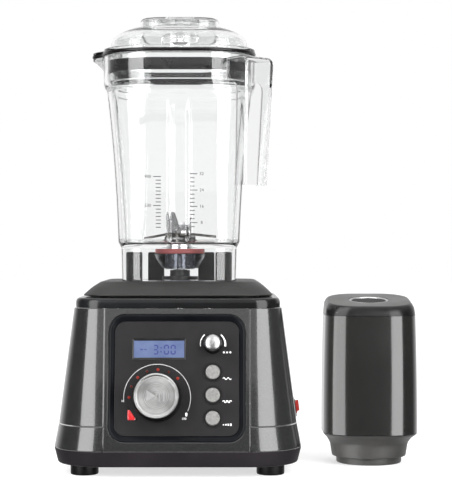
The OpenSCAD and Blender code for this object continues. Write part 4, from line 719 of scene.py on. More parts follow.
def jarSeat():
    # shoulder by a smooth curve of inset share and height; the posts stand on it as rounded corner blocks
    p = pad
    curve = smoothCurve(p["curve"], 34)
    inset, top = p["shoulder"] * curve[:, 0], p["low"] + p["height"]
    outline = insetOutline(p, inset, p["corner"] - p["tighten"] * inset)
    plinth = insetOutline(p, p["plinth"], p["plinthCorner"])
    grid = raised(outline, p["low"] + p["height"] * curve[:, 1])
    grid = holedTop(grid, p["hole"], top, p["deckTop"], plinth, p["low"])
    parts = [(inRow(grid, atJar), gridFaces(*grid.shape[:2], wrapRows=True))]
    h, w, r = p["postHalf"], p["postWidth"], p["postCorner"]
    middle = h - w / 2
    a = np.linspace(0, math.pi / 2, 40)
    arc = arcOf(h - r, h - r, r, a)
    arc = arc[(arc > h - w).all(1)]
    front = np.vstack([[[h - w, h - w], [h, h - w]], arc, [[h - w, h]]]) - middle
    rear = np.array([[-w, -w], [w, -w], [w, w], [-w, w]]) / 2
    wide, fine = p["postEdge"]
    levels = top + np.array([-p["postRoot"], p["postHeight"] - wide, p["postHeight"] - fine, p["postHeight"]])
    shrink = 1 - np.array([0, 0, fine, wide])[:, None, None] / (w / 2)
    for block, x, y in ((front, middle, -1), (rear, p["postRear"], 1)):
        for side in (1, -1):
            post = raised((block * shrink + [x, middle]) * [side, y], levels)
            n = len(block)
            caps = np.arange(n) + np.array([[0], [3 * n]])
            parts.append((inRow(post, atJar), gridFaces(*post.shape[:2]), caps))
    makePiece("jarSeat", *joined(*parts), "pad", "base", ["jar_pad"])


jarSeat()
footSet = dict(x=93.0, y=86.0, radius=14.0, height=10.5, hole=2.2, head=4.6, headHeight=5.5, edge=(1.5, 0.45))


def feet():
    # one foot with a stepped screw hole, spun and set down at the four corners
    f = footSet
    r, h, head, (wide, fine) = f["radius"], f["height"], f["headHeight"], f["edge"]
    profile = np.array([[f["head"], 0], [r - wide, 0], [r - fine, fine], [r, wide], [r, h], [f["hole"], h],
                        [f["hole"], head], [f["head"], head]])
    one = spun(profile[:, :1], profile[:, 1:], 64)
    faces = gridFaces(*one.shape[:2], wrapRows=True)
    spots = [(x * f["x"], y * f["y"], 0) for x in (-1, 1) for y in (-1, 1)]
    points, faces = joined(*[(one + spot, faces) for spot in spots])
    makePiece("feet", inRow(points, atJar), faces, "rubber", "base", ["rubber_feet"])


feet()
print("housing, deck, seat and feet made")


# Control panel

bezelSet = dict(half=68.0, front=63.25, back=63.25, corner=17.0, proud=1.4, rim=6.5, face=-2.0, rear=-7.0)


def bezelRing():
    # section of inset and height carried round a rounded rectangle
    b = bezelSet
    p, rim, face = b["proud"], b["rim"], b["face"]
    lip = smoothCurve([[0, p - 1.1], [0.2, p - 0.5], [0.7, p - 0.1], [1.5, p], [2.6, p - 0.4], [4.0, -0.2],
                       [rim - 1.2, face + 0.8], [rim, face - 0.5]], 30)
    curve = np.vstack([[0, b["rear"]], lip, [rim, b["rear"]]])
    grid = raised(insetOutline(b, curve[:, 0], b["corner"] - curve[:, 0]), curve[:, 1])
    lofted("bezelRing", grid, atPanel, "bezel", "base", ["panel_bezel"])


bezelRing()
speed = dict(u=-19.4, v=-18.9, foot=-0.5, radius=24.0, capRadius=22.1, height=17.5, capHeight=4.6)
mode = dict(u=35.4, v=34.0, foot=-1.4, radius=9.5, height=11.5, cap=5.0, step=1.2)
buttons = dict(u=35.4, v=6.2, pitch=22.7, radius=7.2, top=1.0, low=-8.0, edge=0.7)
lights = dict(count=7, ring=27.7, start=179.5, stop=43.3, radius=1.5, smaller=0.25, face=-2.0)


def speedKnob():
    # tapered body and a dished silver face, both spun from their sections
    s = speed
    spot = onPanel(s, s["foot"])
    h, r, c, t = s["height"], s["radius"], s["capRadius"], s["height"] + s["capHeight"]
    section = [[0, 0], [r - 0.6, 0], [r, 0.6], [r, 4], [c + 0.9, h - 1], [c + 0.3, h], [0, h]]
    turned("speedKnobBody", section, spot, "knob", "speed_knob", ["speed_knob"], edge=0.3)
    # the silver face carries two painted highlight wedges
    silver = turnedMarksPaintedHighlight("speedSilver", spot, 0.19, 0.46, (0.34, 0.46), 1300, (1, 1, 0.99))
    face = [[0, h], [c, h], [c, t - 0.5], [c - 0.4, t - 0.1], [c - 1.1, t], [c - 2.0, t - 0.05],
            [c - 2.3, t - 0.2], [c - 2.6, t - 0.7], [c - 2.9, t - 0.9], [0, t - 1.05]]
    turned("speedKnobFace", braced(face, 0.3), spot, silver, "speed_knob", ["speed_knob_cap"])


def modeKnob():
    # tapered body, and a dome whose section is a quarter of an ellipse
    m = mode
    spot = onPanel(m, m["foot"])
    h, r, s = m["height"], m["radius"], m["step"]
    section = [[0, 0], [r - 0.5, 0], [r, 0.5], [r, 3], [r - 1, h], [0, h]]
    turned("modeKnobBody", section, spot, "knob", "mode_knob", ["mode_knob"], edge=0.25)
    # the silver dome carries two painted highlight wedges
    silver = turnedMarksPaintedHighlight("modeSilver", spot, 0.22, 0.45, (0.32, 0.44), 1500)
    a = np.linspace(0, math.pi / 2, 14)
    dome = np.stack([(r - s) * np.cos(a), h + s + (m["cap"] - s) * np.sin(a)], -1)
    dome = np.vstack([[[0, h], [r - s, h]], dome])
    turned("modeKnobDome", dome, spot, silver, "mode_knob", ["mode_knob_cap"])


def pressButtons():
    # three round buttons in a column, each with a finish and a body of its own
    b = buttons
    r, top, e = b["radius"], b["top"], b["edge"]
    section = [[0, b["low"]], [r, b["low"]], [r, top - e], [r - e, top], [0, top]]
    for i, body in enumerate(("blend_button", "pulse_button", "program_button")):
        spot = shifted(atPanel, b["u"], b["v"] - i * b["pitch"], 0)
        silver = makeFinish(body + "Silver", 0.145, 0.235, 1500, 500, (0.4, 0.52), tint=(1, 0.99, 0.96),
                            bump=0.3, metal=0.5)
        turned(body.split("_")[0] + "Button", section, spot, silver, body, [body], edge=0.25)


def speedLights():
    # low domes spaced by equal angles round the speed knob, every second one smaller and dimmer
    g = lights
    for i, angle in enumerate(np.radians(np.linspace(g["start"], g["stop"], g["count"]))):
        u, v = speed["u"] + g["ring"] * math.cos(angle), speed["v"] + g["ring"] * math.sin(angle)
        r = g["radius"] - g["smaller"] * (i % 2)
        dome = [[0, -1.5], [r, -1.5], [r, 0.02], [r * 0.85, 0.2], [0, 0.3]]
        look = "ledDim" if i % 2 else "led"
        spot = shifted(atPanel, u, v, g["face"])
        turned(f"speedLight{i}", dome, spot, look, "base", ["speed_leds"], steps=24)


speedKnob()
speedLights()
modeKnob()
pressButtons()


def figureMesh(text, size, thick):  # points and faces of figures set in the plain font
    curve = bpy.data.curves.new("figures", "FONT")
    curve.body, curve.size, curve.extrude, curve.resolution_u = text, size * 1.4, thick / 2, 3
    curve.align_x, curve.align_y = "CENTER", "CENTER"
    holder = bpy.data.objects.new("figures", curve)
    bpy.context.scene.collection.objects.link(holder)
    bpy.context.view_layer.update()
    flat = bpy.data.meshes.new_from_object(holder.evaluated_get(bpy.context.evaluated_depsgraph_get()))
    points = np.empty(len(flat.vertices) * 3)
    flat.vertices.foreach_get("co", points)
    faces = [np.array([list(f.vertices)]) for f in flat.polygons]
    bpy.data.objects.remove(holder)
    bpy.data.meshes.remove(flat)
    bpy.data.curves.remove(curve)
    return points.reshape(-1, 3), faces


def flatPiece(name, outlines, spot, look, body, thick=0.15, words=(), onto=None):
    # flat outlines and figures raised by the thickness of a print, laid on a plane or onto a wall
    parts = []
    for line in outlines:
        n = len(line)
        k = np.arange(n)
        low = np.column_stack([line, np.zeros(n)])
        sides = np.stack([k, (k + 1) % n, n + (k + 1) % n, n + k], -1)
        parts.append((np.concatenate([low, low + [0, 0, thick]]), k[None, ::-1], n + k[None], sides))
    for text, u, v, size in words:
        points, faces = figureMesh(text, size, thick)
        parts.append((points + [u, v, thick / 2], *faces))
    laid, faces = joined(*parts)
    makePiece(name, inRow(laid if onto is None else onto(laid), spot), faces, look, body, sharp=30)


def arcBand(u, v, radius, width, start, stop, steps=48):
    # band between two circles from one angle to another, its width going evenly between a pair
    a = np.radians(np.linspace(start, stop, steps))
    w = np.linspace(*width, steps) / 2
    out, into = [arcOf(u, v, r, a) for r in (radius + w, radius - w)]
    return np.vstack([out, into[::-1]])


def oblong(u, v, width, height):  # four corners about a middle
    return np.array([u, v]) + np.array([[-1, -1], [1, -1], [1, 1], [-1, 1]]) * [width / 2, height / 2]


def segments(text, u, v, height, width, gap, stroke):
    # seven-segment figures: each bar is a thin six-sided lozenge on the figure's frame
    h, w, s, m = height / 2, width, stroke / 2, stroke * 0.55
    ends = dict(a=(m, h - s, w - m, h - s), g=(m, 0, w - m, 0), d=(m, s - h, w - m, s - h),
                b=(w - s, m, w - s, h - m), c=(w - s, m - h, w - s, -m), e=(s, m - h, s, -m),
                f=(s, m, s, h - m))

    def bar(x0, y0, x1, y1):  # two end points, and four points half a stroke in from them and to the sides
        p, q = np.array([x0, y0]), np.array([x1, y1])
        along = (q - p) / np.abs(q - p).sum() * s
        aside = along[::-1]
        sides = [p, p + along + aside, q - along + aside, q, q - along - aside, p + along - aside]
        return np.array(sides)

    bars = {"3": "abgcd", "0": "abcdef"}
    shapes = []
    for sign in text:
        if sign == ":":
            shapes += [oblong(u + stroke, v + side * height * 0.2, stroke, stroke) for side in (-1, 1)]
            u += 2 * stroke + gap
        else:
            shapes += [bar(*ends[k]) + [u, v] for k in bars[sign]]
            u += width + gap
    return shapes


lcd = dict(u=-17.8, v=29.25, width=52.6, height=21.1, litWidth=50.2, litHeight=17.0, corners=(0.6, 0.5),
           rear=-4.9, front=-1.6, slope=-2.4, glass=-3.4, ink=-3.0, glassThick=0.4, inkThick=0.1,
           figures=(-6.0, -0.6, 9.8, 5.2, 1.45, 1.3),  # left, middle, height, width, gap and stroke
           dashes=((-17.2, -0.4, 3.0, 1.1), (-13.6, -0.4, 2.0, 1.1)))


def display():
    # frame as a ring between two rounded rectangles, lit glass in it, and figures on the glass
    l = lcd
    sizes = (l["width"], l["height"], l["corners"][0]), (l["litWidth"], l["litHeight"], l["corners"][1])
    outer, inner = [roundedOutline(w / 2, t / 2, t / 2, r, 3)[0] for w, t, r in sizes]
    rows = raised(np.stack([outer, outer, inner, inner]), [l["rear"], l["front"], l["slope"], l["rear"]])
    spot = onPanel(l)
    lofted("displayFrame", rows, spot, "frameDark", "base", edge=0.15)
    flatPiece("displayGlass", [inner], shifted(spot, 0, 0, l["glass"]), "lcd", "base", l["glassThick"])
    marks = segments("3:00", *l["figures"]) + [oblong(*d) for d in l["dashes"]]
    flatPiece("displayDigits", marks, shifted(spot, 0, 0, l["ink"]), "digit", "base", l["inkThick"])


display()


def wave(u, v, width, height, stroke, beats, square):
    # ribbon along a sine, or along a square wave when asked, of even stroke
    t = np.linspace(0, 1, 61)
    y = np.sin(2 * math.pi * beats * t)
    y = (np.clip(6 * y, -1, 1) if square else y) * height / 2
    line = np.column_stack([u + (t - 0.5) * width, v + y])
    side = np.gradient(line, axis=0)[:, ::-1] * [-1, 1]
    side *= stroke / 2 / np.linalg.norm(side, axis=1)[:, None]
    return np.vstack([line - side, (line + side)[::-1]])


signSet = dict(u=49.6, drop=7.2, shift=0.9, width=8.4, height=1.9, stroke=0.6, dot=0.95, dotGap=3.2,
               face=-2.0, thick=0.08)
arcSet = dict(radius=33.0, width=(0.62, 0.62), start=185, stop=-24, tip=-28, modeRadius=12.4)


def panelPrint():
    # thin raised print: arc and drop round the speed knob, two arcs round the mode knob, and small signs
    s, m, b, g, r = speed, mode, buttons, signSet, arcSet
    spot = shifted(atPanel, 0, 0, g["face"])
    arc = arcBand(s["u"], s["v"], r["radius"], r["width"], r["start"], r["stop"], 96)
    flatPiece("speedArc", [arc], spot, "arcInk", "base", g["thick"])
    tip, a = math.radians(r["tip"]), evenTurns(24)
    x, y = s["u"] + r["radius"] * math.cos(tip) - 0.3, s["v"] + r["radius"] * math.sin(tip) - 0.6
    marks = [np.column_stack([x + 1.15 * np.cos(a), y + (1.9 - 0.6 * np.sin(a)) * np.sin(a)])]
    marks += [arcBand(m["u"], m["v"], r["modeRadius"], width, *turn, 32)
              for width, turn in (((0.5, 1.0), (190, 130)), ((1.0, 2.0), (50, -10)))]
    u, dotsV = g["u"], m["v"] - g["drop"] - g["shift"]
    rows = [b["v"] - i * b["pitch"] - g["drop"] + g["shift"] for i in range(3)]
    marks += [arcOf(u + step * g["dotGap"], dotsV, g["dot"], a) for step in (-1, 0, 1)]
    ribbon = (g["width"], g["height"], g["stroke"])
    marks += [wave(u, rows[0], *ribbon, 2, False), wave(u, rows[1], *ribbon, 2.5, True)]
    marks += [oblong(u - 3.6 + 2.4 * i, rows[2], 1.3, 0.9 + 0.45 * i) for i in range(4)]
    figures = [("10", s["u"] - 34.0, s["v"] - 3.4, 2.2), ("100", s["u"] + 26.6, s["v"] - 20.8, 2.2)]
    flatPiece("panelPrint", marks, spot, "ink", "base", g["thick"], figures)
    face = onPanel(s, s["foot"] + s["height"] + s["capHeight"] - 1.1)
    arrow = np.array([[-9.5, -5.5], [-0.5, 0.0], [-9.5, 5.5]])
    bars = [oblong(x, 0, 1.7, 11) for x in (3.2, 7.4)]
    flatPiece("speedMark", [arrow, *bars], face, "engraved", "speed_knob", 0.18)


panelPrint()
lensSet = dict(u=-48.4, v=-41.0, width=9.6, height=12.6, round=1.3, low=-5.0, top=-1.5,
               starts=(180, 270, 37), sweeps=(90, 127, 143), shrink=(1, 1, 0.97, 0.9, 0.75, 0.4, 0.0),
               drop=(1.0, 0.45, 0.2, 0.08, 0.0, 0.0))


def startLens():
    # triangle with rounded corners, domed by a few rings that step inwards
    l = lensSet
    w, h, r = l["width"], l["height"], l["round"]
    middle = np.array([w, h]) / 3
    centres = np.array([[r, r], [w - 2.45 * r, r], [r, h - 2.9 * r]])
    a = np.radians(l["starts"])[:, None] + np.radians(l["sweeps"])[:, None] * np.linspace(0, 1, 9)
    outline = (centres[:, None] + r * np.stack([np.cos(a), np.sin(a)], -1)).reshape(-1, 2)
    rings = (outline - middle)[None] * np.array(l["shrink"])[:, None, None] + middle
    grid = raised(rings, [l["low"]] + [l["top"] - d for d in l["drop"]])
    spot = onPanel(l)
    lofted("startLens", grid, spot, "lens", "base", ["start_lens"], ring=False)


startLens()
print("panel, knobs and display made")


# Jar, handle and blades

jarSet = dict(low=192.3, floorUnder=225.3, floorTop=230.8, rim=424.5, collarLow=392.5, skirt=59.5,
              skirtWall=3.5, width=125.0, topWidth=148.0, collar=157.0, corner=26.0, topCorner=40.0,
              collarCorner=53.0, wall=4.0, wallFoot=2.0, wallHead=7.0, rib=2.2, ribHalf=11.0, ribEase=3.0,
              spout=13.0, spoutHalf=24.0, hole=14.0)
wallLow, wallTop = jarSet["floorTop"] + jarSet["wallFoot"], jarSet["collarLow"] - jarSet["wallHead"]


def jarLevels(rows):  # jar outlines at the heights in the last column
    return raised(jarOutline(*rows[:, :-1].T), rows[:, -1])


def jarOutline(half, corner, spout=0, rib=0):
    # rounded square whose sides dip by a rib in the middle, with a raised cosine pushed out on the left for
    # the spout
    half, corner, spout, rib = asRows(half, corner, spout, rib)
    outline = squareOutline(half, corner, 12, 32)
    flat = np.abs(outline) > half[:, None, None] - 1e-6
    along = np.where(flat[..., 0], outline[..., 1], outline[..., 0])
    dip = np.clip((jarSet["ribHalf"] - np.abs(along)) / jarSet["ribEase"], 0, 1)
    dip = dip * dip * (3 - 2 * dip) * rib[:, None]
    lip = np.cos(np.clip(along / jarSet["spoutHalf"], -1, 1) * math.pi / 2) ** 2 * spout[:, None]
    lip = lip * (outline[..., 0] < 0) * flat[..., 0]
    return outline + (np.sign(outline) * flat) * (lip - dip)[..., None]


def wallAt(share):  # half width of the wall: part straight, part by the square of the height's share
    j = jarSet
    return j["width"] / 2 + (j["topWidth"] - j["width"]) / 2 * (0.45 * share + 0.55 * share**2)


def jarShell():
    # stack of outlines up the outside and down the inside: half width, corner, spout, rib, height of each
    j = jarSet
    c, t, g, w, rib = j["corner"], j["topCorner"], j["collarCorner"], j["wall"], j["rib"]
    under, low, collar, rim, out = j["floorUnder"], j["low"], j["collarLow"], j["rim"], j["spout"]
    s, inner, k, top = j["skirt"], j["skirt"] - j["skirtWall"], j["collar"] / 2, j["topWidth"] / 2
    share = np.linspace(0, 1, 15)
    half, bend, rise = wallAt(share), c + (t - c) * share, wallLow + (wallTop - wallLow) * share
    outside = np.column_stack([half, bend, 0 * share, 0 * share, rise])
    inside = np.column_stack([half - w, bend - w, 0 * share, 0 * share + rib, rise])[1:-1][::-1]
    inside[0, 3] = rib * 0.5
    foot = [[inner + 0.4, c - 5, under], [inner, c - 5.5, low + 0.6], [inner + 0.5, c - 5.2, low],
            [s - 1.5, c - 2.8, low], [s - 1, c - 2.5, low + 0.6], [s, c - 1.5, under],
            [s + 0.3, c - 1.3, under + 1.2], [s + 0.95, c - 0.9, under + 2.6],
            [s + 1.8, c - 0.4, under + 4.2], [j["width"] / 2 - 0.4, c, under + 5.8]]
    foot = np.insert(braced(foot), 2, 0, axis=1)
    head = smoothCurve([[top + 0.5, t + 1, 0, collar - 5.5], [k - 1.6, g - 1.5, 0, collar - 1.5],
                        [k - 0.4, g, 0, collar + 3], [k - 0.2, g, 0, rim - 17], [k, g, out * 0.45, rim - 8],
                        [k, g, out, rim - 2]], 22)
    lip = [[k - 0.15, g - 0.15, out, rim - 0.8], [k - 0.6, g - 0.6, out, rim],
           [k - w + 0.6, g - w + 0.6, out, rim], [k - w, g - w, out, rim - 0.7]]
    throat = smoothCurve([[k - w, g - w, out * 0.95, rim - 2], [k - w, g - w, out * 0.45, rim - 7],
                          [k - w, g - w, 0, rim - 16], [k - w - 0.4, g - w, 0, collar + 2],
                          [top - w, t - w, 0, collar - 6]], 18)
    foot, head, lip, throat = [np.insert(rows, 3, 0, axis=1) for rows in (foot, head, lip, throat)]
    wide, q, f = j["width"] / 2 - w, c - w, j["floorTop"]
    bowl = smoothCurve([[wide + 0.1, q, 0, rib, f + 4.4], [wide - 0.2, q - 0.2, 0, rib * 0.8, f + 2.8],
                        [wide - 1.2, q - 1, 0, 0.4, f + 1], [wide - 3.2, q - 2.6, 0, 0, f]], 9)
    basin = np.vstack([[wide + 0.15, q, 0, rib, f + 5.2], bowl, [wide - 4.2, q - 3.4, 0, 0, f]])
    rows = np.vstack([foot, outside, head, lip, throat, inside, basin])
    grid = jarLevels(rows)
    lofted("jarShell", bored(grid, j["hole"], f, under), atJar, "clear", "jar", ["jar"], sharp=50)


jarShell()
handle = dict(turn=-45.0, reach=117.5, top=418.5, foot=289.5, wide=40.0, footWide=33.4, wall=3.4, lean=5.4,
              depth=15.0, footDepth=14.0, web=24.0, root=89.3, edge=3.2,
              bend=(7.0, 1.0, 82), bendIn=(10.0, 0.0, 86))  # radius, gap before it and first angle


def handleGrip():
    # U section carried along the top and down the grip: outer line, inner line, and a narrowing width
    h = handle

    def line(x, z, footX, bend):  # along the top, round the bend, and down to the foot
        r, gap, start = bend
        a = np.radians(np.linspace(start, 0, 10))
        over = np.column_stack([np.linspace(h["root"], x - r - gap, 8), np.full(8, z)])
        corner = arcOf(x - r, z - r, r, a)
        down = np.column_stack([np.linspace(x, footX, 25), np.linspace(z - r, h["foot"], 25)])
        return np.vstack([over, corner, down[1:]])

    x, z, footX = h["reach"], h["top"], h["reach"] - h["lean"]
    outer = line(x, z, footX, h["bend"])
    inner = line(x - h["depth"], z - h["web"], footX - h["footDepth"], h["bendIn"])
    wide, wideIn = [np.interp(way[:, 1], [h["foot"], z], [h["footWide"], h["wide"]]) / 2
                    for way in (outer, inner)]
    a, r = np.radians(np.linspace(0, 90, 7)), h["edge"]
    reach = np.linalg.norm(outer - inner, axis=1)
    toOuter = (outer - inner) / reach[:, None]
    # section: up one side to the rounded corner, across the outer face, and down the other side
    bend = (reach - r)[:, None] + r * np.sin(a)[1:]
    sideUp = np.concatenate([np.outer(reach - r, [0, 0.33, 0.66, 1.0]), bend], 1)
    drop = np.concatenate([np.zeros(4), r * (1 - np.cos(a))[1:]])
    flank = wideIn[:, None] + (wide - wideIn)[:, None] * sideUp / reach[:, None] - drop
    spine = inner[:, None] + toOuter[:, None] * sideUp[..., None]
    left, right = [np.stack([spine[..., 0], side * flank, spine[..., 1]], -1) for side in (-1, 1)]
    grid = np.concatenate([left, right[:, ::-1]], 1)
    c, s = math.cos(math.radians(h["turn"])), math.sin(math.radians(h["turn"]))
    spot = (jarAxis, np.array([[c, -s, 0], [s, c, 0], [0, 0, 1]]))
    faces = gridFaces(*grid.shape[:2], wrapCols=False)[:, ::-1]
    makePiece("handleGrip", inRow(grid, spot), faces, "grip", "jar", ["jar_handle"],
              wall=h["wall"], edge=0.9, closed=False, steps=3)


handleGrip()
scaleSet = dict(stroke=0.8, thick=0.12, size=3.2,
                left=dict(count=15, z=247.0, step=3.671, fixed=-17.6, short=-22.8, long=-25.3, figure=-5.6),
                right=dict(count=14, z=301.2, step=-4.127, fixed=11.7, short=16.6, long=19.4, figure=4.4))


def jarScales():
    # two scales on the front wall: ticks at even heights, longer ones with figures
    g = scaleSet

    def ontoWall(p):  # width, height and thickness to a point on the front wall
        share = (p[:, 1] - wallLow) / (wallTop - wallLow)
        return np.column_stack([p[:, 0], -wallAt(share) - p[:, 2], p[:, 1]])

    ticks, figures = [], []
    leftWords = {i: str(200 + 50 * i) for i in (6, 14)}
    rightWords = {i: str(32 - 2 * i) for i in range(0, 14, 4)}
    for s, words in ((g["left"], leftWords), (g["right"], rightWords)):
        for i in range(s["count"]):
            z, x = s["z"] + i * s["step"], s["long" if i in words else "short"]
            ticks.append(oblong((x + s["fixed"]) / 2, z, abs(x - s["fixed"]), g["stroke"]))
            if i in words:
                figures.append((words[i], x + s["figure"], z, g["size"]))
    flatPiece("jarScales", ticks, atJar, "scaleInk", "jar", g["thick"], figures, ontoWall)


jarScales()
drive = dict(socketLow=184.0, bottom=189.2, bore=6.6, shaft=5.1, shelf=196.5, shelfRadius=19.0, crown=203.0,
             crownRadius=10.5, gasketLow=220.28, gasketTop=225.28, gasketIn=16.1, gasketOut=26.0,
             shroudLow=205.0, shroudTop=220.26, nutLow=204.0, nutTop=222.8, nutBore=9.1, flutes=12,
             flute=1.35)


def driveParts():
    # socket, gasket and shroud spun from their sections; the nut's flutes dip by a power of a cosine
    d = drive
    crown, shelf, r = d["crown"], d["shelf"], d["crownRadius"]
    socket = [[d["bore"], d["bottom"]], [d["bore"], crown - 0.4], [d["bore"] + 0.4, crown], [r, crown],
              [r, shelf + 0.8], [r + 0.8, shelf], [d["shelfRadius"], shelf],
              [d["shelfRadius"], d["socketLow"]], [d["shaft"], d["socketLow"]], [d["shaft"], d["bottom"]]]
    turned("driveSocket", socket, atJar, "socket", "rotor", ["drive_socket"], ring=True, edge=0.4)
    low, top, into, out = d["gasketLow"], d["gasketTop"], d["gasketIn"], d["gasketOut"]
    gasket = [[into, low], [out, low], [out, top], [into, top]]
    turned("seatGasket", gasket, atJar, "gasket", "jar", ["seat_gasket"], ring=True, edge=0.8)
    low, top = d["shroudLow"], d["shroudTop"]
    shroud = [[16.5, low], [19.0, low], [25.4, top - 5], [27, top], [24.5, top], [22.9, top - 5]]
    turned("bearingShroud", shroud, atJar, "smoke", "jar", ["bearing_shroud"], ring=True, edge=0.5)
    low, top, bore = d["nutLow"], d["nutTop"], d["nutBore"]
    rows = np.array([[low, bore, 0], [low, 14.8, 1], [low + 0.8, 15.6, 1], [top - 4.2, 15.7, 1],
                     [top - 3.0, 15.8, 0], [top - 0.5, 15.8, 0], [top, 15.3, 0],
                     [top, bore, 0]])  # height, radius, share of the flutes
    steps = 12 * d["flutes"]
    flute = d["flute"] * np.clip(np.cos(d["flutes"] * evenTurns(steps)), 0, 1) ** 0.6
    grid = spun(rows[:, 1:2] - rows[:, 2:] * flute, rows[:, :1], steps)
    lofted("retainerNut", grid, atJar, "nut", "jar", ["retainer_nut"])


driveParts()
print("jar, handle and drive made")


# Lid

lidSet = dict(seal=424.8, flange=428.0, dome=431.0, domeTop=455.0, domeHalf=70.0, domeCorner=38.0, plug=397.0,
              plugHalf=72.7, plugCorner=47.2, wall=3.0, beltLow=406.2, beltTop=418.6, port=20.08,
              proud=0.3, bulge=0.5)
capSet = dict(radius=41.5, low=455.3, top=464.0, wall=3.0, round=3.4, hub=20.0, bore=4.0, portLow=449.0,
              ease=15.0)


def lidShell():
    # underside of the dome, down the plug, round the flange, and back over the dome: half width, corner,
    # spout and height of each level
    l, k, c, out = lidSet, jarSet["collar"] / 2, jarSet["collarCorner"], jarSet["spout"]
    w, p, q, half, bend = l["wall"], l["plugHalf"], l["plugCorner"], l["domeHalf"], l["domeCorner"]
    low, flange, dome = l["plug"], l["flange"], l["dome"]
    shape = smoothCurve([[0, 0], [0.3, 0.01], [0.5, 0.1], [0.7, 0.33], [0.87, 0.65], [1, 1]], 20)
    up, into = shape[:, 0], (half - capSet["radius"] - 1) * shape[:, 1]
    rise = l["domeTop"] - dome
    over = np.column_stack([half - into, bend * (1 - into / half), 0 * up, dome + rise * up])
    thin = half - into - w
    under = np.column_stack([thin, bend * thin / half, 0 * up, dome + (rise - w) * up])[4:][::-1]
    skirt = [[p - w, q - w, 0, flange], [p - w - 0.5, q - w, 0, low + 0.6], [p - w, q - w, 0, low],
             [p - 1.0, q - 0.5, 0, low], [p - 0.5, q, 0, low + 0.6], [p, q, 0, flange - 0.3]]
    edge = [[p + 0.3, q, 0, flange], [k - 0.5, c - 0.5, out, flange], [k, c, out, flange + 0.5],
            [k, c, out, dome - 0.9], [k - 0.25, c - 0.25, out, dome - 0.3], [k - 0.9, c - 0.9, out, dome],
            [half + 0.8, bend + 0.5, 0, dome]]
    rows = np.vstack([under, braced(skirt), edge, over])
    grid = jarLevels(rows)
    grid = bored(grid, l["port"], l["domeTop"], l["domeTop"] - w)
    lofted("lidShell", grid, atJar, "clear", "lid", ["lid"], sharp=50)


def lidSeal():
    # ring under the flange that bulges by a half sine, and a belt round the plug with rounded edges
    l, k, c, out = lidSet, jarSet["collar"] / 2, jarSet["collarCorner"], jarSet["spout"]
    p, q, e, seal, flange = l["plugHalf"], l["plugCorner"], l["proud"], l["seal"], l["flange"]
    a = np.linspace(0, 1, 9)
    bulge = k + e + l["bulge"] * np.sin(math.pi * a)
    rim = np.column_stack([bulge, c + e + 0 * a, 0 * a + out, seal + (flange - seal) * a])
    rim = np.vstack([rim, [p + e, q + e, 0, flange], [p + e, q + e, 0, seal]])
    low, top = l["beltLow"], l["beltTop"]
    stand = np.array([1.0, 1.25, 1.4, 1.4, 1.25, 1.0, 0.1, 0.1])
    heights = [low, low + 0.2, low + 0.6, top - 0.6, top - 0.2, top, top, low]
    belt = np.column_stack([p + stand, q + stand, 0 * stand, heights])
    grids = [jarLevels(rows) for rows in (rim, belt)]
    points, faces = joined(*[(grid, gridFaces(*grid.shape[:2], wrapRows=True)) for grid in grids])
    makePiece("lidSeal", inRow(points, atJar), faces, "seal", "lid", ["lid_seal"], sharp=50)


def lidCap():
    # section of hub, flat roof and rounded edge, spun; outside the hub the radius grows to a superellipse
    # of power 4
    s = capSet
    t, w, r, e, hub, bore = s["top"], s["wall"], s["radius"], s["round"], s["hub"], s["bore"]
    a = np.linspace(0, math.pi / 2, 8)
    edge = arcOf(r - e, t - e, e, a)
    inside = [[bore, s["portLow"]], [hub, s["portLow"]], [hub, t - w], [r - w, t - w], [r - w, s["low"]],
              [r, s["low"]]]
    profile = np.vstack([inside, edge, [[0, t], [0, t - w], [bore, t - w]]])
    turn = evenTurns(96)
    square = (np.cos(turn) ** 4 + np.sin(turn) ** 4) ** -0.25  # one in the middle of each side
    radius = profile[:, :1] * (1 + (square - 1) * np.clip((profile[:, :1] - hub) / s["ease"], 0, 1))
    lofted("lidCap", spun(radius, profile[:, 1:], 96), atJar, "clear", "cap", ["lid_cap"], sharp=40)


lidShell()
lidSeal()
lidCap()
print("lid and cap made")


# Vacuum pump

pumpSet = dict(collarLow=7.3, collarTop=32.3, shellLow=32.6, shellTop=155.6, topLow=155.9, topHigh=165.2,
               rise=12.0, half=49.1, topHalf=47.2, corner=32.0, topCorner=30.0, wall=2.5, collarFoot=39.0,
               bore=5.0, bandInset=4.4, buttonRadius=21.0, buttonTop=-1.2, buttonLow=2.3, pocket=-5.7,
               fit=0.3,
               curve=[[0, 0], [0.5, 0.2], [1.4, 0.45], [2.5, 0.7], [3.7, 0.88], [5.2, 0.975], [7.4, 1]],
               foot=[[25.3, 0], [32.8, 0], [33.85, 0.45], [34.3, 1.5], [34.3, 7], [25.3, 7]])


def pumpShell():
    # half width eases in by the square of the height's share; then down the inside of the wall
    p = pumpSet
    share = np.linspace(0, 1, 19)
    half = p["half"] + (p["topHalf"] - p["half"]) * share**2
    z = p["shellLow"] + (p["shellTop"] - p["shellLow"]) * share
    outside = np.column_stack([half, p["corner"] + (p["topCorner"] - p["corner"]) * share, z])
    inside = (outside - [p["wall"], p["wall"], 0])[::-1]
    outside[0, 2] += 0.5
    low = [p["half"] - 0.5, p["corner"] - 0.5, p["shellLow"]]
    top = [p["topHalf"] - 0.4, p["topCorner"] - 0.4, p["shellTop"]]
    rows = np.vstack([low, outside, top, inside])
    grid = raised(squareOutline(rows[:, 0], rows[:, 1]), rows[:, 2])
    lofted("pumpShell", grid, atPump, "pumpLacquer", "pump", ["pump_shell"])


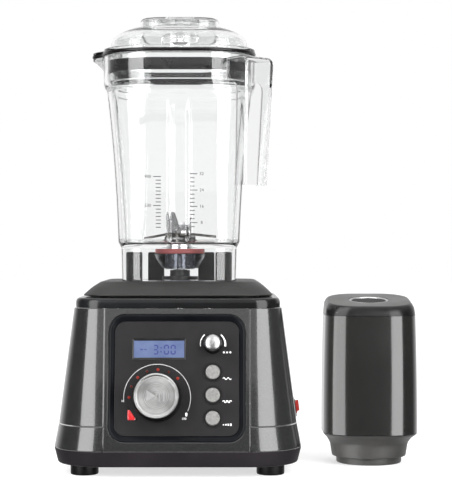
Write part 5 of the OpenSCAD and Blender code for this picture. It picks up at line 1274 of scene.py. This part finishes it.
def pumpTop():
    # edge curve of inset and height, raised by a straight slope from the front to the back, in to the
    # button's well; the outer rows are a band of their own
    p = pumpSet
    curve = smoothCurve(p["curve"], 24)
    line = squareOutline(p["topHalf"] - curve[:, 0], p["topCorner"] - 0.3 * curve[:, 0])
    grid = raised(line, p["topLow"] + (p["topHigh"] - p["topLow"]) * curve[:, 1])
    grid[..., 2] += topSlope * np.minimum(1, 2.5 * curve[:, 1:]) * (grid[..., 1] + p["topHalf"])
    side = np.searchsorted(curve[:, 0], p["bandInset"])
    band = grid[:side + 1]
    lofted("pumpBand", band, atPump, "pumpBand", "pump", ["pump_top"], ring=False, closed=False)
    well, pocket = p["buttonRadius"] + p["fit"], p["pocket"]
    steps = ((well + 0.6, 0), (well, -0.5), (well, pocket), (0.0, pocket))
    rings = np.concatenate([roundRing(grid[-1], r, z) for r, z in steps])
    grid = np.concatenate([grid[side:], rings @ topTurn.T + topMiddle])
    lofted("pumpTop", grid, atPump, "pumpTop", "pump", ["pump_top"], ring=False)


def pumpCollar():
    # half width, corner and height by a smooth curve from a round foot to the shell's rounded square
    p = pumpSet
    f, h, c = p["collarFoot"], p["half"], p["corner"]
    curve = smoothCurve([[f - 0.7, f - 0.7, 0], [f, f, 0.05], [f + 1.0, f + 1.0, 0.28], [f + 2, f + 2, 0.5],
                         [f + 3.2, f + 2.6, 0.62], [h - 4.2, c + 6, 0.8], [h - 1.4, c + 2, 0.93],
                         [h - 0.2, c, 1]], 40)
    corner = np.minimum(curve[:, 1], curve[:, 0] - 0.01)
    low, top = p["collarLow"], p["collarTop"]
    grid = raised(squareOutline(curve[:, 0], corner), low + (top - low) * curve[:, 2])
    lofted("pumpCollar", bored(grid, p["bore"], top, low), atPump, "collar", "pump", ["pump_collar"])
    turned("pumpFoot", p["foot"], atPump, "collar", "pump", ["pump_seal"], ring=True)


def pumpButton():
    # dished button and its dark disc, spun about the sloping top's own axis
    p = pumpSet
    spot = (pumpAxis + topMiddle, topTurn)
    # the silver button carries two painted highlight wedges
    silver = turnedMarksPaintedHighlight("pumpSilver", spot, 0.42, 0.6, (0.3, 0.4), 1400)
    low, top, r = p["pocket"] + p["buttonLow"], p["buttonTop"], p["buttonRadius"]
    button = [[0, low], [r, low], [r, top], [r - 0.3, top + 0.7], [r - 1, top + 1.1], [r - 1.8, top + 0.8],
              [r - 2.4, top + 0.3], [r - 2.6, top - 0.3], [0, top - 0.3]]
    turned("pumpButton", button, spot, silver, "pump_button", ["pump_button"])
    disc = [[0, top - 0.6], [r - 2.7, top - 0.6], [r - 2.8, top], [0, top + 0.1]]
    turned("buttonDisc", disc, spot, "panel", "pump_button")


topSlope = pumpSet["rise"] / (2 * pumpSet["topHalf"])
slopeCos, slopeSin = math.cos(math.atan(topSlope)), math.sin(math.atan(topSlope))
topTurn = np.array([[1, 0, 0], [0, slopeCos, -slopeSin], [0, slopeSin, slopeCos]])
topMiddle = np.array([0, 0, pumpSet["topHigh"] + pumpSet["rise"] / 2])
pumpShell()
pumpTop()
pumpCollar()
pumpButton()
print("pump made")


# Floor, and the light on the pump, in metres

floorSet = dict(left=-6, right=6, front=-4, back=8, z=-0.0003)
pumpLight = dict(x=-0.075, y=-0.075, z=0.1, width=0.073, tall=0.5, power=0.62, near=0.06, behind=0.098,
                 below=0.16)


def makeFloor():  # one white sheet under everything
    f = floorSet
    mesh = bpy.data.meshes.new("floor")
    corners = [(x, y, f["z"]) for y in (f["front"], f["back"]) for x in (f["left"], f["right"])]
    mesh.from_pydata(corners, [], [(0, 1, 3, 2)])
    floor = bpy.data.objects.new("floor", mesh)
    bpy.context.scene.collection.objects.link(floor)
    white = makeFinish("floorWhite", 0.52, 0.54, 300, 4, (0.6, 0.7), bump=0.0, glow=1.1, seenOnly=True)
    mesh.materials.append(white)
    floor.visible_glossy = False  # lacquer mirrors the soft boxes and the dark room


def lightPump():
    # the pump has a narrow box of its own on its left in place of the large one
    s, pumpX, pumpY = pumpLight, pumpAxis[0] / 1000, pumpAxis[1] / 1000
    place = (pumpX + s["x"], pumpY + s["y"], s["z"])
    pumpBox = addLight("pumpBox", place, (place[0] + 1, place[1], s["z"]), s["width"], s["tall"], s["power"])
    pumpBox.visible_camera = False
    lit, unlit = bpy.data.collections.new("pumpLit"), bpy.data.collections.new("pumpUnlit")
    for piece in bpy.data.objects:
        if piece.type == "MESH":
            x, y, z = np.mean(piece.bound_box, 0)
            if abs(x - pumpX) < s["near"]:
                lit.objects.link(piece)
                unlit.objects.link(piece)
            elif y > jarY - s["behind"] and z < s["below"]:
                piece.visible_glossy = False  # the pump's side mirrors no blender
    for entry in unlit.collection_objects:
        entry.light_linking.link_state = "EXCLUDE"
    pumpBox.light_linking.receiver_collection = lit
    pumpBox.light_linking.blocker_collection = lit
    sideBox["boxLeft"].light_linking.receiver_collection = unlit


makeFloor()
lightPump()
bpy.context.view_layer.update()
